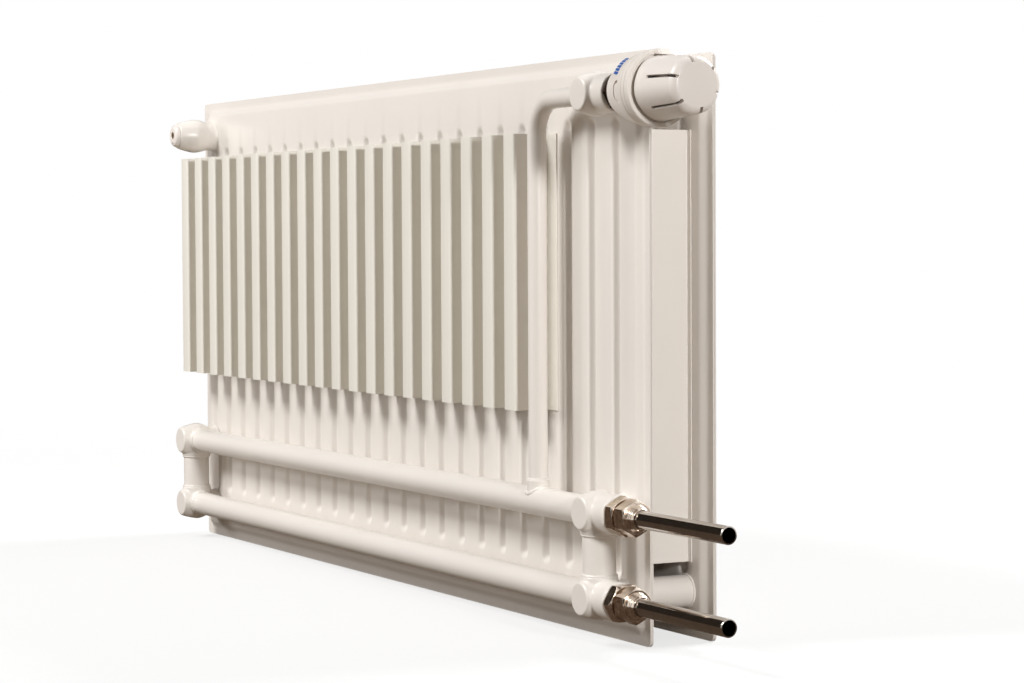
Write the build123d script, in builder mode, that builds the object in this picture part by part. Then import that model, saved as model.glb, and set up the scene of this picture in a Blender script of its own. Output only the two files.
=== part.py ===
from build123d import *
import math
import os

# Double-panel heating radiator, seen in its own frame: X along its width, with the
# supply side at -X, +Y towards the wall, +Z up. The origin is the middle of its
# footprint, at the bottom edge of the panels. Lengths are millimetres.

# Panels: two pressed steel sheets each, seam-welded round the rim and along the grooves
panel_width = 800
panel_height = 400
panel_corner = 4
seam_pitch = 50
sheet = 1.25
channel_depth = 5
rim_flange = 7.5
plateau_corner = 9
press_taper = 45
groove_pitch = 100 / 3
groove_count = 23
groove_floor = 3.5
groove_margin = 48
rear_groove_inset = 24
front_groove_inset = 100 / 3

# Convectors: folded strips welded on the panels' channel crests
fin_sheet = 0.8
fin_width = 16.6
fin_bend = 1.2
wall_fin_count = 20
wall_fin_depth = 26.6
wall_fin_height = 195.9
wall_fin_gap = 5.6
wall_fin_foot = 15.3
gap_fin_count = 23
gap_fin_depth = 30
gap_fin_lower_gap = 9.45
gap_fin_upper_gap = 10.05
gap_fin_foot = 4
short_foot = 4

# Ports, and the pipe run that stands off the rear panel
port_inset = 28.65
port_bore = 8
pipe_stand_off = 24.1
upper_header_z = 90
lower_header_z = 32
valve_drop = 28.8
vent_drop = 30.5
spacer_radius = 11.25
spacer_wall = 2.5
weld_fit = 0.2

# Forged tees
stub_radius = 11.25
ball_radius = 15.2
neck_reach = 11
nose_reach = 16
nose_radius = 10.6
nose_shoulder_reach = 8.5
nose_shoulder_radius = 13.6
nose_edge = 1
collar_reach = 15.2
collar_wall = 1.4
neck_swell_radius = 13.9
neck_swell_reach = 5.7
branch_radius = 13.3
branch_reach = 27

# Pipes between the tees
header_radius = 10
header_wall = 1.5
header_end = 12.2
connector_radius = 11.5
connector_wall = 1.75
connector_end = 8.3
riser_radius = 6.75
riser_wall = 1.25
riser_offset = 85.15
riser_bend = 25
riser_collar_radius = 8.2
riser_collar_top = 15.5
riser_foot = 10.5
riser_socket = 8.2

# Compression unions and chrome pipes
seal_thickness = 0.8
seal_radius = 10.6
union_flats = 24
union_hex_length = 9
union_thread_radius = 9.4
union_thread_length = 8
union_bore = 5.2
spigot_radius = 9.2
spigot_length = 9
nut_flats = 22
nut_gap = 1.6
nut_hex_length = 11.5
nut_snout_length = 6.5
nut_snout_radius = 9.3
nut_snout_tip = 7.6
hex_chamfer = 1.2
tube_radius = 6
tube_wall = 1
tube_reach = 160.85
tube_socket = 6
olive_length = 4
olive_radius = 7.9
olive_chamfer = 0.8
thread_fit = 0.2

# Valve insert and its stem
seat_bore = 5.5
seat_wall = 1.5
seat_reach = 2
chamber_radius = 9.3
stem_travel = 1.2
shut_gap = 0.15
washer_radius = 7.2
washer_thickness = 2.5
washer_plate = 1.4
washer_hole = 1.7
spindle_radius = 2
running_fit = 0.08
insert_start = 12
insert_flats = 21
insert_flange = 2.4
insert_neck_radius = 10.4
insert_neck_end = 38
spring_chamber_radius = 6.6
spring_chamber_end = 24
gland_radius = 5
gland_length = 5
pin_show = 3

# Thermostatic head, measured outwards from the tee's middle
head_nut_radius = 12.5
head_nut_start = 31
bell_start = 35.15
bell_radius = 14.5
bell_inner = 13
bell_middle = 52
bell_middle_radius = 20.7
flange_start = 70.65
flange_radius = 25
flange_end = 80.65
limit_ring_radius = 23.2
limit_ring_width = 1.75
head_web = 2.2
guide_wall = 1.8
guide_end = 111
lug_end = 94.5
lug_slope = 3
lug_width = 9
lug_base = 23.6
lug_top = 26.2
cap_gap = 0.4
cap_base_radius = 21.4
cap_end_radius = 19
cap_shoulder = 119.7
cap_end = 125.6
cap_face_radius = 14.2
cap_round = 123.7
cap_round_radius = 17.5
cap_wall = 2.2
cap_slots = 6
cap_slot_width = 1.9
cap_slot_start = 94.5
cap_slot_floor = 14.5
cap_slot_turn = 42.2
cap_bearing = 4
cap_hub_radius = 6.6
cap_hub_depth = 12
capsule_radius = 12.5
capsule_start = 62
capsule_end = 108
capsule_tail_radius = 4
capsule_tail = 10
capsule_edge = 1.5
push_rod_radius = 3
slide_fit = 0.3

# Air vent
plug_radius = 10.3
plug_head = 4.3
plug_edge = 2.6
plug_thread_radius = 6.2
plug_thread_length = 8
vent_pocket_radius = 4.2
vent_pocket_depth = 2.6
vent_screw_radius = 2.6
vent_screw_square = 4
vent_screw_start = 11.5
vent_square_length = 2
vent_seat = 1
vent_spout_radius = 1.2
vent_spout_drop = 6.8

# Places worked out from the sizes above. The footprint's middle lies at X = 0, Y = 0
supply_side = -(panel_width / 2 - port_inset) - tube_reach
panel_x = -(supply_side + panel_width / 2) / 2
room_side = -(seam_pitch + channel_depth)
wall_side = pipe_stand_off + flange_radius
rear_seam_y = -(room_side + wall_side) / 2
front_seam_y = rear_seam_y - seam_pitch
pipe_y = rear_seam_y + pipe_stand_off
valve_x = panel_x - panel_width / 2 + port_inset
valve_z = panel_height - valve_drop
vent_x = panel_x + panel_width / 2 - port_inset
vent_z = panel_height - vent_drop
wall_fin_top = vent_z - ball_radius - wall_fin_gap
gap_fin_bottom = lower_header_z + spacer_radius + gap_fin_lower_gap
gap_fin_top = min(valve_z, vent_z) - spacer_radius - gap_fin_upper_gap
stub_length = pipe_stand_off - channel_depth
press_rise = channel_depth - sheet
press_run = press_rise * math.tan(math.radians(press_taper))
bend_shift = sheet * (1 / math.cos(math.radians(press_taper)) - math.tan(math.radians(press_taper)))
os.makedirs("parts", exist_ok=True)


def outward(reach, height):
    """Plane across the supply-side pipe line, its Z pointing away from the radiator."""
    return Plane(origin=(valve_x - reach, pipe_y, height), x_dir=(0, 1, 0), z_dir=(-1, 0, 0))


def lengthwise(height):
    """Plane along the supply-side pipe line: local X runs outwards, local Y is radial."""
    return Plane(origin=(valve_x, pipe_y, height), x_dir=(-1, 0, 0), z_dir=(0, 0, 1))


def pipe_axis(height):
    """Axis of the supply-side pipe line at a height."""
    return Axis((valve_x, pipe_y, height), (-1, 0, 0))


# Pressed sheets: rim flange, raised plateau, grooves pressed back to the seam, port holes
upper_ports = [(valve_x, valve_z), (vent_x, vent_z)]
lower_ports = [(valve_x, lower_header_z), (vent_x, lower_header_z)]
corner_ports = upper_ports + lower_ports
sheets = [
    ("front_panel_room_sheet", front_seam_y, -1, front_groove_inset, []),
    ("front_panel_gap_sheet", front_seam_y, 1, front_groove_inset, corner_ports),
    ("rear_panel_gap_sheet", rear_seam_y, -1, rear_groove_inset, corner_ports),
    ("rear_panel_wall_sheet", rear_seam_y, 1, rear_groove_inset, corner_ports),
]
plateau_width = panel_width - 2 * rim_flange
plateau_height = panel_height - 2 * rim_flange
groove_length = panel_height - 2 * groove_margin - 2 * press_run
for name, seam_y, side, groove_inset, ports in sheets:
    seam = Plane(
        origin=(panel_x, seam_y, panel_height / 2),
        x_dir=(-side, 0, 0),
        z_dir=(0, side, 0),
    )
    middle_of_grooves = panel_width / 2 - groove_inset - groove_pitch * (groove_count - 1) / 2
    groove_shift = -side * middle_of_grooves
    port_places = [(-side * (x - panel_x), z - panel_height / 2) for x, z in ports]
    with BuildPart() as panel_sheet:
        with BuildSketch(seam):
            RectangleRounded(panel_width, panel_height, panel_corner)
        extrude(amount=sheet)
        with BuildSketch(seam.offset(sheet)):
            RectangleRounded(plateau_width, plateau_height, plateau_corner)
        extrude(amount=press_rise, taper=press_taper)
        with BuildSketch(seam):
            RectangleRounded(
                plateau_width - 2 * bend_shift,
                plateau_height - 2 * bend_shift,
                plateau_corner - bend_shift,
            )
            with Locations((groove_shift, 0)), GridLocations(groove_pitch, 0, groove_count, 1):
                Rectangle(
                    groove_floor + 2 * bend_shift,
                    groove_length + 2 * bend_shift,
                    mode=Mode.SUBTRACT,
                )
        extrude(amount=press_rise, taper=press_taper, mode=Mode.SUBTRACT)
        with BuildSketch(seam.offset(channel_depth)):
            with Locations((groove_shift, 0)), GridLocations(groove_pitch, 0, groove_count, 1):
                Rectangle(groove_floor + 2 * press_run, groove_length + 2 * press_run)
        extrude(
            amount=press_rise,
            dir=-seam.z_dir,
            taper=press_taper,
            mode=Mode.SUBTRACT,
        )
        if port_places:
            with BuildSketch(seam):
                with Locations(*port_places):
                    Circle(port_bore)
            extrude(amount=channel_depth, mode=Mode.SUBTRACT)
    panel_sheet.part.label = name
    export_step(panel_sheet.part, f"parts/{name}.step")

# Convectors: one folded strip each, its feet on the channel crests and its fins over the grooves
convectors = [
    (
        "wall_convector",
        rear_seam_y + channel_depth,
        rear_groove_inset,
        wall_fin_count,
        wall_fin_depth,
        wall_fin_top,
        wall_fin_height,
        wall_fin_foot,
    ),
    (
        "gap_convector",
        front_seam_y + channel_depth,
        front_groove_inset,
        gap_fin_count,
        gap_fin_depth,
        gap_fin_top,
        gap_fin_top - gap_fin_bottom,
        gap_fin_foot,
    ),
]
for name, crest_y, inset, fins, depth, top, height, end_foot in convectors:
    first_fin = (panel_x + panel_width / 2 - inset, crest_y, top)
    strip = Plane(origin=first_fin, x_dir=(-1, 0, 0), z_dir=(0, 0, -1))
    half_fin = fin_width / 2 - fin_sheet
    rise = depth - fin_sheet
    outline = [(-fin_width / 2 - short_foot, 0)]
    for fin in range(fins):
        middle = fin * groove_pitch
        outline += [
            (middle - half_fin, 0),
            (middle - half_fin, rise),
            (middle + half_fin, rise),
            (middle + half_fin, 0),
        ]
    outline.append(((fins - 1) * groove_pitch + fin_width / 2 + end_foot, 0))
    with BuildPart() as convector:
        with BuildLine(strip):
            FilletPolyline(*outline, radius=fin_bend)
        make_brake_formed(thickness=fin_sheet, station_widths=height, side=Side.RIGHT)
    convector.part.label = name
    export_step(convector.part, f"parts/{name}.step")

# Spacer tubes between the panels, one at each corner port
spacers = [
    ("spacer_upper_valve", valve_x, valve_z),
    ("spacer_upper_vent", vent_x, vent_z),
    ("spacer_lower_valve", valve_x, lower_header_z),
    ("spacer_lower_vent", vent_x, lower_header_z),
]
for name, x, z in spacers:
    front_crest = Plane(
        origin=(x, front_seam_y + channel_depth, z), x_dir=(-1, 0, 0), z_dir=(0, 1, 0)
    )
    with BuildPart() as spacer:
        with BuildSketch(front_crest):
            Circle(spacer_radius)
            Circle(spacer_radius - spacer_wall, mode=Mode.SUBTRACT)
        extrude(amount=seam_pitch - 2 * channel_depth)
    spacer.part.label = name
    export_step(spacer.part, f"parts/{name}.step")

# Half profile of a forging: a stub from the panel swells to a ball and closes in a flat
# nose. Local X is the radius, local Y runs from the pipe axis towards the wall
with BuildSketch() as forging:
    with BuildLine():
        Polyline(
            (0, nose_reach),
            (0, -stub_length),
            (stub_radius, -stub_length),
            (stub_radius, -neck_reach),
        )
        ThreePointArc(
            (stub_radius, -neck_reach),
            (neck_swell_radius, -neck_swell_reach),
            (ball_radius, 0),
        )
        ThreePointArc(
            (ball_radius, 0),
            (nose_shoulder_radius, nose_shoulder_reach),
            (nose_radius + nose_edge, nose_reach - nose_edge),
        )
        Polyline(
            (nose_radius + nose_edge, nose_reach - nose_edge),
            (nose_radius, nose_reach),
            (0, nose_reach),
        )
    make_face()

# Tees of the two headers: sockets for the pipes, and a threaded branch on the supply side
tees = [
    # name, x, z, side of the header, side of the connector, threaded branch, open to the panel
    ("tee_upper_valve", valve_x, upper_header_z, 1, -1, True, False),
    ("tee_lower_valve", valve_x, lower_header_z, 1, 1, True, True),
    ("tee_upper_vent", vent_x, upper_header_z, -1, -1, False, False),
    ("tee_lower_vent", vent_x, lower_header_z, -1, 1, False, True),
]
for name, x, z, header_side, connector_side, has_branch, port_open in tees:
    centre = (x, pipe_y, z)
    header_plane = Plane(origin=centre, x_dir=(0, 1, 0), z_dir=(header_side, 0, 0))
    connector_plane = Plane(origin=centre, x_dir=(1, 0, 0), z_dir=(0, 0, connector_side))
    with BuildPart() as tee:
        with BuildSketch(Plane(origin=centre, x_dir=(1, 0, 0), z_dir=(0, 0, 1))):
            add(forging.sketch)
        revolve(axis=Axis(centre, (0, 1, 0)))
        with BuildSketch(header_plane):
            Circle(header_radius + collar_wall)
        extrude(amount=collar_reach)
        with BuildSketch(connector_plane):
            Circle(connector_radius + collar_wall)
        extrude(amount=collar_reach)
        if has_branch:
            with BuildSketch(outward(0, z)):
                Circle(branch_radius)
            extrude(amount=branch_reach)
            with BuildSketch(outward(0, z)):
                Circle(port_bore)
            extrude(amount=branch_reach, mode=Mode.SUBTRACT)
            with BuildSketch(outward(branch_reach - spigot_length - weld_fit, z)):
                Circle(spigot_radius + thread_fit)
            extrude(amount=spigot_length + weld_fit, mode=Mode.SUBTRACT)
        with BuildSketch(header_plane, connector_plane):
            Circle(port_bore)
        extrude(amount=collar_reach, mode=Mode.SUBTRACT)
        with BuildSketch(header_plane.offset(header_end - weld_fit)):
            Circle(header_radius + weld_fit)
        extrude(amount=collar_reach, mode=Mode.SUBTRACT)
        with BuildSketch(connector_plane.offset(connector_end - weld_fit)):
            Circle(connector_radius + weld_fit)
        extrude(amount=collar_reach, mode=Mode.SUBTRACT)
        if port_open:
            with BuildSketch(Plane(origin=centre, x_dir=(1, 0, 0), z_dir=(0, -1, 0))):
                Circle(port_bore)
            extrude(amount=stub_length, mode=Mode.SUBTRACT)
    tee.part.label = name
    export_step(tee.part, f"parts/{name}.step")

# Valve body: the same forging at the top supply corner, with the riser's socket, the valve
# seat, the insert's chamber and the way out to the panel
valve_centre = (valve_x, pipe_y, valve_z)
panel_side = Plane(origin=valve_centre, x_dir=(1, 0, 0), z_dir=(0, -1, 0))
with BuildPart() as valve_body:
    with BuildSketch(Plane(origin=valve_centre, x_dir=(1, 0, 0), z_dir=(0, 0, 1))):
        add(forging.sketch)
    revolve(axis=Axis(valve_centre, (0, 1, 0)))
    with BuildSketch(outward(0, valve_z)):
        Circle(branch_radius)
    extrude(amount=branch_reach)
    with BuildSketch(outward(-ball_radius, valve_z)):
        Circle(riser_radius + weld_fit)
    extrude(amount=ball_radius - riser_socket, mode=Mode.SUBTRACT)
    with BuildSketch(outward(-ball_radius, valve_z)):
        Circle(seat_bore)
    extrude(amount=ball_radius + seat_reach, mode=Mode.SUBTRACT)
    with BuildSketch(outward(seat_reach, valve_z)):
        Circle(chamber_radius)
    extrude(amount=branch_reach - seat_reach, mode=Mode.SUBTRACT)
    with BuildSketch(panel_side.offset(seat_bore + seat_wall)):
        Circle(port_bore)
    extrude(amount=stub_length, mode=Mode.SUBTRACT)
valve_body.part.label = "valve_body"
export_step(valve_body.part, "parts/valve_body.step")

# Vent boss: the forging once more at the top vent corner, bored for the bleed plug
vent_centre = (vent_x, pipe_y, vent_z)
vent_face = Plane(origin=vent_centre, x_dir=(1, 0, 0), z_dir=(0, 1, 0))
with BuildPart() as vent_boss:
    with BuildSketch(Plane(origin=vent_centre, x_dir=(1, 0, 0), z_dir=(0, 0, 1))):
        add(forging.sketch)
    revolve(axis=Axis(vent_centre, (0, 1, 0)))
    with BuildSketch(vent_face.offset(-stub_length)):
        Circle(port_bore)
    extrude(amount=stub_length + nose_reach - plug_thread_length - vent_seat, mode=Mode.SUBTRACT)
    with BuildSketch(vent_face.offset(-stub_length)):
        Circle(plug_thread_radius + thread_fit)
    extrude(amount=stub_length + nose_reach, mode=Mode.SUBTRACT)
vent_boss.part.label = "vent_boss"
export_step(vent_boss.part, "parts/vent_boss.step")

# Bleed plug with its recessed screw pocket and a spout hole below it
vent_pocket_floor = nose_reach + plug_head - vent_pocket_depth
with BuildPart() as bleed_plug:
    with BuildSketch(vent_face.offset(nose_reach)):
        Circle(plug_radius)
    extrude(amount=plug_head)
    fillet(bleed_plug.edges().sort_by(Axis.Y)[-1], radius=plug_edge)
    with BuildSketch(vent_face.offset(nose_reach - plug_thread_length)):
        Circle(plug_thread_radius)
    extrude(amount=plug_thread_length)
    with BuildSketch(vent_face.offset(vent_pocket_floor)):
        Circle(vent_pocket_radius)
    extrude(amount=vent_pocket_depth, mode=Mode.SUBTRACT)
    with BuildSketch(vent_face.offset(vent_screw_start)):
        Circle(vent_screw_radius + running_fit)
    extrude(amount=plug_thread_length + plug_head, mode=Mode.SUBTRACT)
    with BuildSketch(vent_face.offset(nose_reach - plug_thread_length)):
        Circle(vent_spout_radius)
    extrude(amount=plug_thread_length, mode=Mode.SUBTRACT)
    with BuildSketch(vent_face.offset(vent_pocket_floor)):
        with Locations((0, vent_spout_drop)):
            Circle(vent_spout_radius)
    extrude(amount=vent_pocket_depth, mode=Mode.SUBTRACT)
bleed_plug.part.label = "bleed_plug"
export_step(bleed_plug.part, "parts/bleed_plug.step")

# Bleed screw: a turned stem with a square for the key
with BuildPart() as bleed_screw:
    with BuildSketch(vent_face.offset(vent_screw_start)):
        Circle(vent_screw_radius)
    extrude(amount=vent_pocket_floor + running_fit - vent_screw_start)
    with BuildSketch(vent_face.offset(vent_pocket_floor + running_fit)):
        Rectangle(vent_screw_square, vent_screw_square)
    extrude(amount=vent_square_length)
bleed_screw.part.label = "bleed_screw"
export_step(bleed_screw.part, "parts/bleed_screw.step")

# Headers: straight tubes between the tees; the upper one is opened under the riser
riser_x = valve_x + riser_offset
headers = [("header_upper", upper_header_z), ("header_lower", lower_header_z)]
for name, z in headers:
    with BuildPart() as header:
        with BuildSketch(outward(-header_end, z)):
            Circle(header_radius)
            Circle(header_radius - header_wall, mode=Mode.SUBTRACT)
        extrude(amount=-(vent_x - valve_x - 2 * header_end))
        if z == upper_header_z:
            with BuildSketch(Plane(origin=(riser_x, pipe_y, z), z_dir=(0, 0, 1))):
                Circle(riser_radius - riser_wall)
            extrude(amount=header_radius, mode=Mode.SUBTRACT)
    header.part.label = name
    export_step(header.part, f"parts/{name}.step")

# Connectors between the lower and upper tee at each side
for name, x in (("connector_valve", valve_x), ("connector_vent", vent_x)):
    with BuildPart() as connector:
        with BuildSketch(Plane(origin=(x, pipe_y, lower_header_z + connector_end), z_dir=(0, 0, 1))):
            Circle(connector_radius)
            Circle(connector_radius - connector_wall, mode=Mode.SUBTRACT)
        extrude(amount=upper_header_z - lower_header_z - 2 * connector_end)
    connector.part.label = name
    export_step(connector.part, f"parts/{name}.step")

# Riser from the upper header to the valve, with the saddle collar at its foot
riser_foot_plane = Plane(origin=(riser_x, pipe_y, upper_header_z + riser_foot), z_dir=(0, 0, 1))
with BuildPart() as riser:
    with BuildLine(Plane(origin=(0, pipe_y, 0), x_dir=(1, 0, 0), z_dir=(0, -1, 0))) as riser_path:
        FilletPolyline(
            (riser_x, upper_header_z + riser_foot),
            (riser_x, valve_z),
            (valve_x + riser_socket + weld_fit, valve_z),
            radius=riser_bend,
        )
    with BuildSketch(riser_foot_plane):
        Circle(riser_radius)
        Circle(riser_radius - riser_wall, mode=Mode.SUBTRACT)
    sweep(path=riser_path.line)
riser.part.label = "riser_pipe"
export_step(riser.part, "parts/riser_pipe.step")

with BuildPart() as riser_collar:
    with BuildSketch(Plane(origin=(riser_x, pipe_y, upper_header_z), z_dir=(0, 0, 1))):
        Circle(riser_collar_radius)
        Circle(riser_radius + weld_fit, mode=Mode.SUBTRACT)
    extrude(amount=riser_collar_top)
    with BuildSketch(outward(-riser_offset - riser_collar_radius, upper_header_z)):
        Circle(header_radius)
    extrude(amount=2 * riser_collar_radius, mode=Mode.SUBTRACT)
riser_collar.part.label = "riser_collar"
export_step(riser_collar.part, "parts/riser_collar.step")

# Compression unions: seal, hexagon body, nut, olive and the tube that runs out of each
union_hex_start = branch_reach + seal_thickness
union_hex_end = union_hex_start + union_hex_length
union_end = union_hex_end + union_thread_length
nut_start = union_hex_end + nut_gap
nut_hex_end = nut_start + nut_hex_length
nut_end = nut_hex_end + nut_snout_length
union_corner = union_flats / math.sqrt(3)
nut_corner = nut_flats / math.sqrt(3)
for way, z in (("supply", upper_header_z), ("return", lower_header_z)):
    with BuildPart() as union_seal:
        with BuildSketch(outward(branch_reach, z)):
            Circle(seal_radius)
            Circle(spigot_radius + thread_fit, mode=Mode.SUBTRACT)
        extrude(amount=seal_thickness)
    union_seal.part.label = f"union_seal_{way}"
    export_step(union_seal.part, f"parts/union_seal_{way}.step")

    with BuildPart() as union_body:
        with BuildSketch(outward(union_hex_start, z)):
            RegularPolygon(union_flats / 2, 6, major_radius=False, rotation=30)
        extrude(amount=union_hex_length)
        with BuildSketch(lengthwise(z)):
            Polygon(
                (union_hex_start, 0),
                (union_hex_start, union_flats / 2),
                (union_hex_start + hex_chamfer, union_corner),
                (union_hex_end - hex_chamfer, union_corner),
                (union_hex_end, union_flats / 2),
                (union_hex_end, 0),
                align=None,
            )
        revolve(axis=pipe_axis(z), mode=Mode.INTERSECT)
        with BuildSketch(outward(branch_reach - spigot_length, z)):
            Circle(spigot_radius)
        extrude(amount=spigot_length + seal_thickness)
        with BuildSketch(outward(union_hex_end, z)):
            Circle(union_thread_radius)
        extrude(amount=union_thread_length)
        with BuildSketch(outward(branch_reach - spigot_length, z)):
            Circle(union_bore)
        extrude(amount=spigot_length + union_end - branch_reach, mode=Mode.SUBTRACT)
        with BuildSketch(outward(union_end - tube_socket - thread_fit, z)):
            Circle(tube_radius + thread_fit)
        extrude(amount=tube_socket + thread_fit, mode=Mode.SUBTRACT)
    union_body.part.label = f"union_body_{way}"
    export_step(union_body.part, f"parts/union_body_{way}.step")

    with BuildPart() as olive:
        with BuildSketch(outward(union_end, z)):
            Circle(olive_radius)
            Circle(tube_radius + running_fit, mode=Mode.SUBTRACT)
        extrude(amount=olive_length)
        rims = olive.edges().filter_by(GeomType.CIRCLE).group_by(SortBy.RADIUS)[-1]
        chamfer(rims, length=olive_chamfer)
    olive.part.label = f"olive_{way}"
    export_step(olive.part, f"parts/olive_{way}.step")

    with BuildPart() as union_nut:
        with BuildSketch(outward(nut_start, z)):
            RegularPolygon(nut_flats / 2, 6, major_radius=False, rotation=30)
        extrude(amount=nut_hex_length)
        with BuildSketch(lengthwise(z)):
            Polygon(
                (nut_start, 0),
                (nut_start, nut_flats / 2),
                (nut_start + hex_chamfer, nut_corner),
                (nut_hex_end - hex_chamfer, nut_corner),
                (nut_hex_end, nut_flats / 2),
                (nut_hex_end, 0),
                align=None,
            )
        revolve(axis=pipe_axis(z), mode=Mode.INTERSECT)
        with BuildSketch(lengthwise(z)):
            Polygon(
                (nut_hex_end, 0),
                (nut_hex_end, nut_snout_radius),
                (nut_end, nut_snout_tip),
                (nut_end, 0),
                align=None,
            )
        revolve(axis=pipe_axis(z))
        with BuildSketch(outward(nut_start, z)):
            Circle(tube_radius + thread_fit)
        extrude(amount=nut_end - nut_start, mode=Mode.SUBTRACT)
        with BuildSketch(outward(nut_start, z)):
            Circle(union_thread_radius + thread_fit)
        extrude(amount=union_end - nut_start, mode=Mode.SUBTRACT)
        with BuildSketch(outward(union_end, z)):
            Circle(olive_radius + thread_fit)
        extrude(amount=olive_length, mode=Mode.SUBTRACT)
    union_nut.part.label = f"union_nut_{way}"
    export_step(union_nut.part, f"parts/union_nut_{way}.step")

    with BuildPart() as tube:
        with BuildSketch(outward(union_end - tube_socket, z)):
            Circle(tube_radius)
            Circle(tube_radius - tube_wall, mode=Mode.SUBTRACT)
        extrude(amount=tube_reach - union_end + tube_socket)
    tube.part.label = f"tube_{way}"
    export_step(tube.part, f"parts/tube_{way}.step")

# Valve insert screwed into the body's branch, with its gland and the stem through both
with BuildPart() as valve_insert:
    with BuildSketch(outward(insert_start, valve_z)):
        Circle(chamber_radius - thread_fit)
    extrude(amount=branch_reach - insert_start)
    with BuildSketch(outward(branch_reach, valve_z)):
        RegularPolygon(insert_flats / 2, 6, major_radius=False)
    extrude(amount=insert_flange)
    with BuildSketch(outward(branch_reach + insert_flange, valve_z)):
        Circle(insert_neck_radius)
    extrude(amount=insert_neck_end - branch_reach - insert_flange)
    with BuildSketch(outward(insert_start, valve_z)):
        Circle(spring_chamber_radius)
    extrude(amount=spring_chamber_end - insert_start, mode=Mode.SUBTRACT)
    with BuildSketch(outward(insert_start, valve_z)):
        Circle(spindle_radius + running_fit)
    extrude(amount=insert_neck_end - insert_start, mode=Mode.SUBTRACT)
    with BuildSketch(outward(insert_neck_end - gland_length, valve_z)):
        Circle(gland_radius + thread_fit)
    extrude(amount=gland_length, mode=Mode.SUBTRACT)
valve_insert.part.label = "valve_insert"
export_step(valve_insert.part, "parts/valve_insert.step")

with BuildPart() as gland_nut:
    with BuildSketch(outward(insert_neck_end - gland_length, valve_z)):
        Circle(gland_radius)
        Circle(spindle_radius + running_fit, mode=Mode.SUBTRACT)
    extrude(amount=gland_length)
gland_nut.part.label = "gland_nut"
export_step(gland_nut.part, "parts/gland_nut.step")

washer_start = seat_reach + stem_travel + shut_gap
plate_start = washer_start + washer_thickness
pin_end = insert_neck_end + pin_show
with BuildPart() as valve_washer:
    with BuildSketch(outward(washer_start, valve_z)):
        Circle(washer_radius)
        Circle(washer_hole, mode=Mode.SUBTRACT)
    extrude(amount=washer_thickness)
valve_washer.part.label = "valve_washer"
export_step(valve_washer.part, "parts/valve_washer.step")

with BuildPart() as spindle:
    with BuildSketch(outward(washer_start, valve_z)):
        Circle(washer_hole - weld_fit)
    extrude(amount=washer_thickness)
    with BuildSketch(outward(plate_start, valve_z)):
        Circle(washer_radius)
    extrude(amount=washer_plate)
    with BuildSketch(outward(plate_start, valve_z)):
        Circle(spindle_radius)
    extrude(amount=pin_end - plate_start)
spindle.part.label = "valve_spindle"
export_step(spindle.part, "parts/valve_spindle.step")

# Thermostatic head: union nut, bell-shaped base, limit ring, sensor capsule and turning cap
with BuildPart() as head_nut:
    with BuildSketch(outward(head_nut_start, valve_z)):
        Circle(head_nut_radius)
        Circle(insert_neck_radius + thread_fit, mode=Mode.SUBTRACT)
    extrude(amount=insert_neck_end - head_nut_start)
head_nut.part.label = "head_nut"
export_step(head_nut.part, "parts/head_nut.step")

guide_inner = capsule_radius + slide_fit
guide_outer = guide_inner + guide_wall
with BuildPart() as head_base:
    with BuildSketch(lengthwise(valve_z)):
        with BuildLine():
            Polyline(
                (flange_start, flange_radius),
                (flange_end, flange_radius),
                (flange_end, guide_outer),
                (guide_end, guide_outer),
                (guide_end, guide_inner),
                (insert_neck_end + head_web, guide_inner),
                (insert_neck_end + head_web, push_rod_radius + slide_fit),
                (insert_neck_end, push_rod_radius + slide_fit),
                (insert_neck_end, bell_inner),
                (bell_start, bell_inner),
                (bell_start, bell_radius),
            )
            ThreePointArc(
                (bell_start, bell_radius),
                (bell_middle, bell_middle_radius),
                (flange_start, flange_radius),
            )
        make_face()
    revolve(axis=pipe_axis(valve_z))
    with BuildSketch(Plane(origin=valve_centre, x_dir=(-1, 0, 0), z_dir=(0, 1, 0))):
        Polygon(
            (flange_start, lug_base),
            (flange_start, flange_radius),
            (flange_start + lug_slope, lug_top),
            (lug_end - lug_slope, lug_top),
            (lug_end, lug_base),
            align=None,
        )
    extrude(amount=lug_width / 2, both=True)
head_base.part.label = "head_base"
export_step(head_base.part, "parts/head_base.step")

with BuildPart() as limit_ring:
    with BuildSketch(outward(flange_end, valve_z)):
        Circle(limit_ring_radius)
        Circle(guide_outer + slide_fit, mode=Mode.SUBTRACT)
    extrude(amount=limit_ring_width)
limit_ring.part.label = "limit_ring"
export_step(limit_ring.part, "parts/limit_ring.step")

with BuildPart() as push_rod:
    with BuildSketch(outward(pin_end, valve_z)):
        Circle(push_rod_radius)
    extrude(amount=capsule_start - pin_end)
push_rod.part.label = "push_rod"
export_step(push_rod.part, "parts/push_rod.step")

with BuildPart() as capsule:
    with BuildSketch(outward(capsule_start, valve_z)):
        Circle(capsule_radius)
    extrude(amount=capsule_end - capsule_start)
    chamfer(capsule.edges().filter_by(GeomType.CIRCLE), length=capsule_edge)
    with BuildSketch(outward(capsule_end, valve_z)):
        Circle(capsule_tail_radius)
    extrude(amount=capsule_tail)
capsule.part.label = "sensor_capsule"
export_step(capsule.part, "parts/sensor_capsule.step")

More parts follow.
